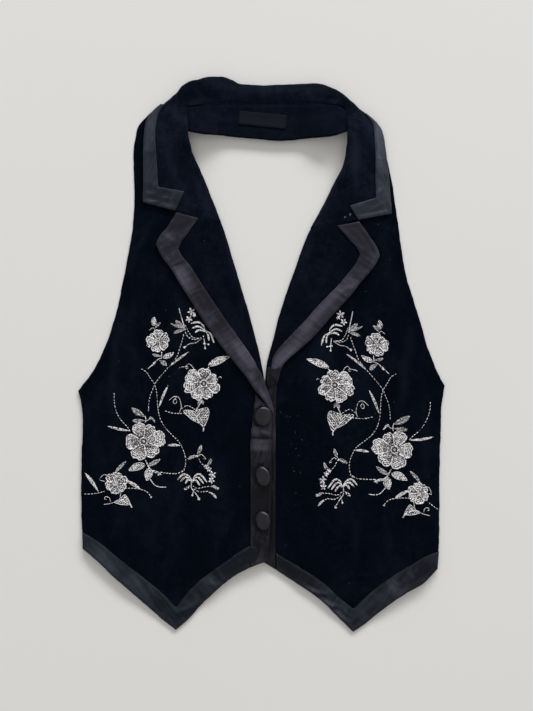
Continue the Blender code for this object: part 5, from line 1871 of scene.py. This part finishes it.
# %% [markdown]
# ## Folded ribbon ends
# Where a ribbon turns or ends, its last few centimetres are folded and tacked down over the other
# layers. Each is a small sheet of its own. It rests on the highest layer below it, eased over the
# steps by averaging every point with its neighbours a few times.

# %% Ribbon ends
Turn = namedtuple("Turn", "looks_like below above rise tone outline")
RIBBON_ENDS = {
    "lapel_left_turn": Turn(
        "front_band_left", ("lapel_left", "lapel_band_left", "front_left", "front_band_left"),
        ("lapel_band_right",), 0.7, 0.0,
        (7.7, -15.1, 6.2, -21.4, 5.2, -29.4, 6.3, -39.8, 8.6, -49.0, 11.5, -57.0, 14.6, -59.3,
         16.2, -49.0, 17.8, -38.6, 18.3, -30.6, 20.7, -22.5, 23.9, -14.5, 15.5, -16.3)),
    "hem_right_turn": Turn(
        "hem_band_right", ("hem_band_right", "front_right", "front_band_right"), (), 0.5, -0.45,
        (-21.3, -227.2, -17.8, -224.4, -13.2, -220.7, -8.6, -220.3, -4.8, -223.2, -4.0, -228.4,
         -5.8, -235.3, -10.9, -238.7, -16.7, -237.6, -21.3, -234.1)),
}
EASING = 8


def ease(values, triangles, times):
    """Each value becomes the mean of itself and the triangles round it, several times over."""
    for _ in range(times):
        total, count = values.copy(), np.ones(len(values))
        means = values[triangles].mean(1)
        for corner in range(3):
            np.add.at(total, triangles[:, corner], means)
            np.add.at(count, triangles[:, corner], 1.0)
        values = total / count
    return values


def ribbon_end(name, turn):
    edge = pairs(turn.outline)
    edge = edge if signed_area(edge) > 0 else edge[::-1]
    edge = smooth_line(edge, 1.2, closed=True)
    net, triangles = net_of(edge, 1.2, 0.8)
    x, y = net.T
    below = np.full(len(net), -FAR)
    for node in turn.below:
        layer, _ = panel_top(node, EDGES[node], x, y)
        inside, _ = edge_distance(x, y, EDGES[node])
        below = np.maximum(below, np.where(inside > -1.0, layer, -FAR))
    below = np.where(below < 0.0, below[below > 0.0].min(), below)
    eased = np.maximum(ease(below, triangles, EASING), below)
    depth, _ = edge_distance(x, y, edge)
    fall = 0.5 * np.clip(1.0 - depth / 0.8, 0.0, 1.0) ** 2
    top = eased + turn.rise - fall + 0.25 * undulation(x, y, 9.0, 3.0)
    for node in turn.above:
        inside, _ = edge_distance(x, y, EDGES[node])
        top = np.where(inside > -0.8, np.minimum(top, sample(HEIGHTS[node].top, x, y) - 0.9), top)
    piece = closed_sheet(name, net, triangles, top, np.minimum(eased, top - 0.3))
    # The turn's tone is written into the painted light value: below nought, as on the hem turn, it is painted
    # shade.
    carry(piece, "painted_light", np.full(len(piece.data.vertices), turn.tone))
    piece.data.materials.append(SATINS[turn.looks_like])
    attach(piece, "root")
    print(name, "top", round(float(top.max()), 1), "mm")
    return piece


TURNS = [ribbon_end(name, turn) for name, turn in RIBBON_ENDS.items()]

# %% [markdown]
# ## Sewing thread
# A line of machine stitches holds every ribbon down a little way in from its edge. The thread
# matches the cloth, so it is seen only as a row of tiny shadows and glints. The same tool sews the
# ends of the label, the seam of the neck band and the small tack at the top of one lapel.

# %% Machine stitches
STITCH_LENGTH = 2.3
STITCH_GAP = 0.55
STITCH_WIDTH = 0.42
STITCH_HEIGHT = 0.30
STITCH_ARCH = 0.12
STITCH_SUNK = 0.02


def inset_line(node, inset):
    """The panel's edge moved inwards, without the points that fall too close to a corner."""
    edge = EDGES[node]
    line = edge + inward_of(edge) * inset
    depth, _ = edge_distance(*line.T, edge)
    return line[depth > 0.9 * inset]


def dashes(line, length=STITCH_LENGTH, gap=STITCH_GAP):
    lengths = arc_lengths(line)
    parts = []
    for start in np.arange(0.0, lengths[-1] - length, length + gap):
        part = at_stations(line, lengths, np.linspace(start, start + length, 4))
        if math.hypot(*(part[-1] - part[0])) > 0.75 * length:
            parts.append(part)
    return parts


def heights_under(rows):
    """For each row, the height of its panel at every point and the depth inside the panel's edge."""
    found = [None] * len(rows)
    for node in sorted({node for node, _ in rows}):
        places = [place for place, (owner, _) in enumerate(rows) if owner == node]
        points = np.vstack([rows[place][1] for place in places])
        top, depth = panel_top(node, EDGES[node], *points.T)
        ends = np.cumsum([len(rows[place][1]) for place in places])
        for place, start, end in zip(places, np.concatenate([[0], ends]), ends):
            found[place] = (top[start:end], depth[start:end])
    return found


def stitch_piece(name, rows, material, width=STITCH_WIDTH, height=STITCH_HEIGHT):
    """A mesh of small tubes that lies on the panels. rows pairs each line with its node."""
    points, faces = [], []
    base = 0
    for (_, line), (top, depth) in zip(rows, heights_under(rows)):
        if (depth < 0.2).any():
            continue
        count = len(line)
        arch = np.sin(np.linspace(0.0, math.pi, count)) * STITCH_ARCH - STITCH_SUNK
        half = np.full(count, 0.5)
        points.append(tube_points(line, half * width, half * height, top + arch))
        faces.append(tube_faces(base, count))
        base += 4 * count
    piece = mesh_object(name, np.vstack(points), np.vstack(faces))
    piece.data.materials.append(material)
    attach(piece, "root")
    print(name, "stitches:", len(points))


def make_plain_thread(name, dark, light, rough, shine=0.3):
    material, tree, shader, place = new_material(name)
    tone = noise(tree, place, 800.0, 2.0, 0.5)
    fill(tree, shader, Base_Color=blend_colours(tree, tone, rgb(*dark), rgb(*light)), Roughness=rough,
         Specular_IOR_Level=shine)
    return material


DARK_THREAD = make_plain_thread("sewing_thread", (0.006, 0.006, 0.009), (0.030, 0.030, 0.038), 0.5)
BLACK_THREAD = make_plain_thread("black_thread", (0.002, 0.002, 0.004), (0.006, 0.006, 0.010), 0.6, 0.06)
LINT_FIBRE = make_plain_thread("lint", (0.05, 0.05, 0.07), (0.22, 0.22, 0.25), 0.9)
TACK_THREAD = make_plain_thread("tack_thread", (0.10, 0.10, 0.13), (0.42, 0.42, 0.48), 0.5)
TACK_ENDS = ((95.0, 156.8, 97.0, 158.4), (100.9, 161.6, 102.9, 161.2), (101.3, 159.3, 102.8, 160.6))
BAND_ROWS = [(node, part) for node in RIBBONS for part in dashes(inset_line(node, 1.7))]
SEAM_ROWS = [("neck_band", part) for part in dashes(inset_line("neck_band", 3.4), 2.6, 0.6)]
LABEL_ROWS = [("label", part) for part in dashes(inset_line("label", 1.3), 1.6, 0.5)]
TACK_ROWS = [("collar", np.linspace(*pairs(ends), 5)) for ends in TACK_ENDS]
stitch_piece("ribbon_stitches", BAND_ROWS, DARK_THREAD)
stitch_piece("lapel_tack", TACK_ROWS, TACK_THREAD, 0.6, 0.5)
stitch_piece("neck_stitches", SEAM_ROWS, BLACK_THREAD, 0.40, 0.22)
stitch_piece("label_stitches", LABEL_ROWS, BLACK_THREAD, 0.32, 0.22)
print("sewing done")

# %% [markdown]
# ## Lint
# Dark velvet always carries a little lint. A few dozen tiny fibres are scattered by a seeded draw,
# more of them beside the buttons, where hands have been.

# %% Loose fibres
LINT_INSET = 6.0
LINT_PLACES = (
    ("front_left", 14, (20.0, -160.0), (48.0, -50.0)),
    ("front_left", 10, (20.0, -290.0), (200.0, 180.0)),
    ("front_right", 7, (-205.0, -290.0), (-16.0, 180.0)),
    ("neck_band", 3, (-90.0, 250.0), (90.0, 282.0)),
)


def lint_lines(node, count, low, high, chance):
    lines = []
    while len(lines) < count:
        start = chance.uniform(low, high)
        turn = chance.uniform(0.0, 2.0 * math.pi)
        length = chance.uniform(0.7, 1.8)
        bend = chance.uniform(-0.8, 0.8)
        share = np.linspace(0.0, 1.0, 6)
        line = start + polar(turn + bend * share, length * share)
        depth, _ = edge_distance(*line.T, EDGES[node])
        if depth.min() > LINT_INSET:
            lines.append((node, line))
    return lines


chance = np.random.default_rng(5)
LINT = [row for place in LINT_PLACES for row in lint_lines(*place, chance)]
stitch_piece("lint_fibres", LINT, LINT_FIBRE, 0.26, 0.2)

# %% [markdown]
# ## Where the collar stands up
# The folded collar is stiff, and it doesn't lie down where it turns round the neck: two soft bulges,
# one on each side, hold its inner edge off the surface. Everything there rises together, leaning a
# little towards the middle, so the layers stay in order, and whatever touches the surface stays on it.

# %% Neck bulges
Bulge = namedtuple("Bulge", "x y size height")
BULGES = (Bulge(-71.0, 254.0, 21.0, 13.0), Bulge(84.0, 250.0, 25.0, 13.0), Bulge(92.0, 214.0, 20.0, 7.0))
BULGE_GRIP = 3.0
BULGE_LEAN = 0.0012
SOLIDS = set(solid.name for solid in frame["nodes"].values())


def raise_cloth(piece):
    points = np.empty(3 * len(piece.data.vertices))
    piece.data.vertices.foreach_get("co", points)
    points = points.reshape(-1, 3)
    x, y, z = (points / MM).T
    rise = sum(bulge.height * bell(np.hypot(x - bulge.x, y - bulge.y), bulge.size) for bulge in BULGES)
    rise = rise * soft_step(z / BULGE_GRIP)
    points[:, :2] *= (1.0 - BULGE_LEAN * rise)[:, None]
    points[:, 2] += rise * MM
    piece.data.vertices.foreach_set("co", points.ravel())
    piece.data.update()
    return float(points[:, 2].max()) / MM


HIGHEST = max(raise_cloth(piece) for piece in bpy.context.scene.objects
              if piece.type == "MESH" and piece.name not in SOLIDS and piece.name != "floor")
print("highest point of the cloth:", round(HIGHEST, 1), "mm")

# %% [markdown]
# ## The ribbons
# A ribbon is cut as a straight strip and mitred at its corners. The two folded ends are short lengths of the
# same ribbon.

# %% [markdown]
# ## Finishing
# The view layer is brought up to date.

# %% Finish
bpy.context.view_layer.update()
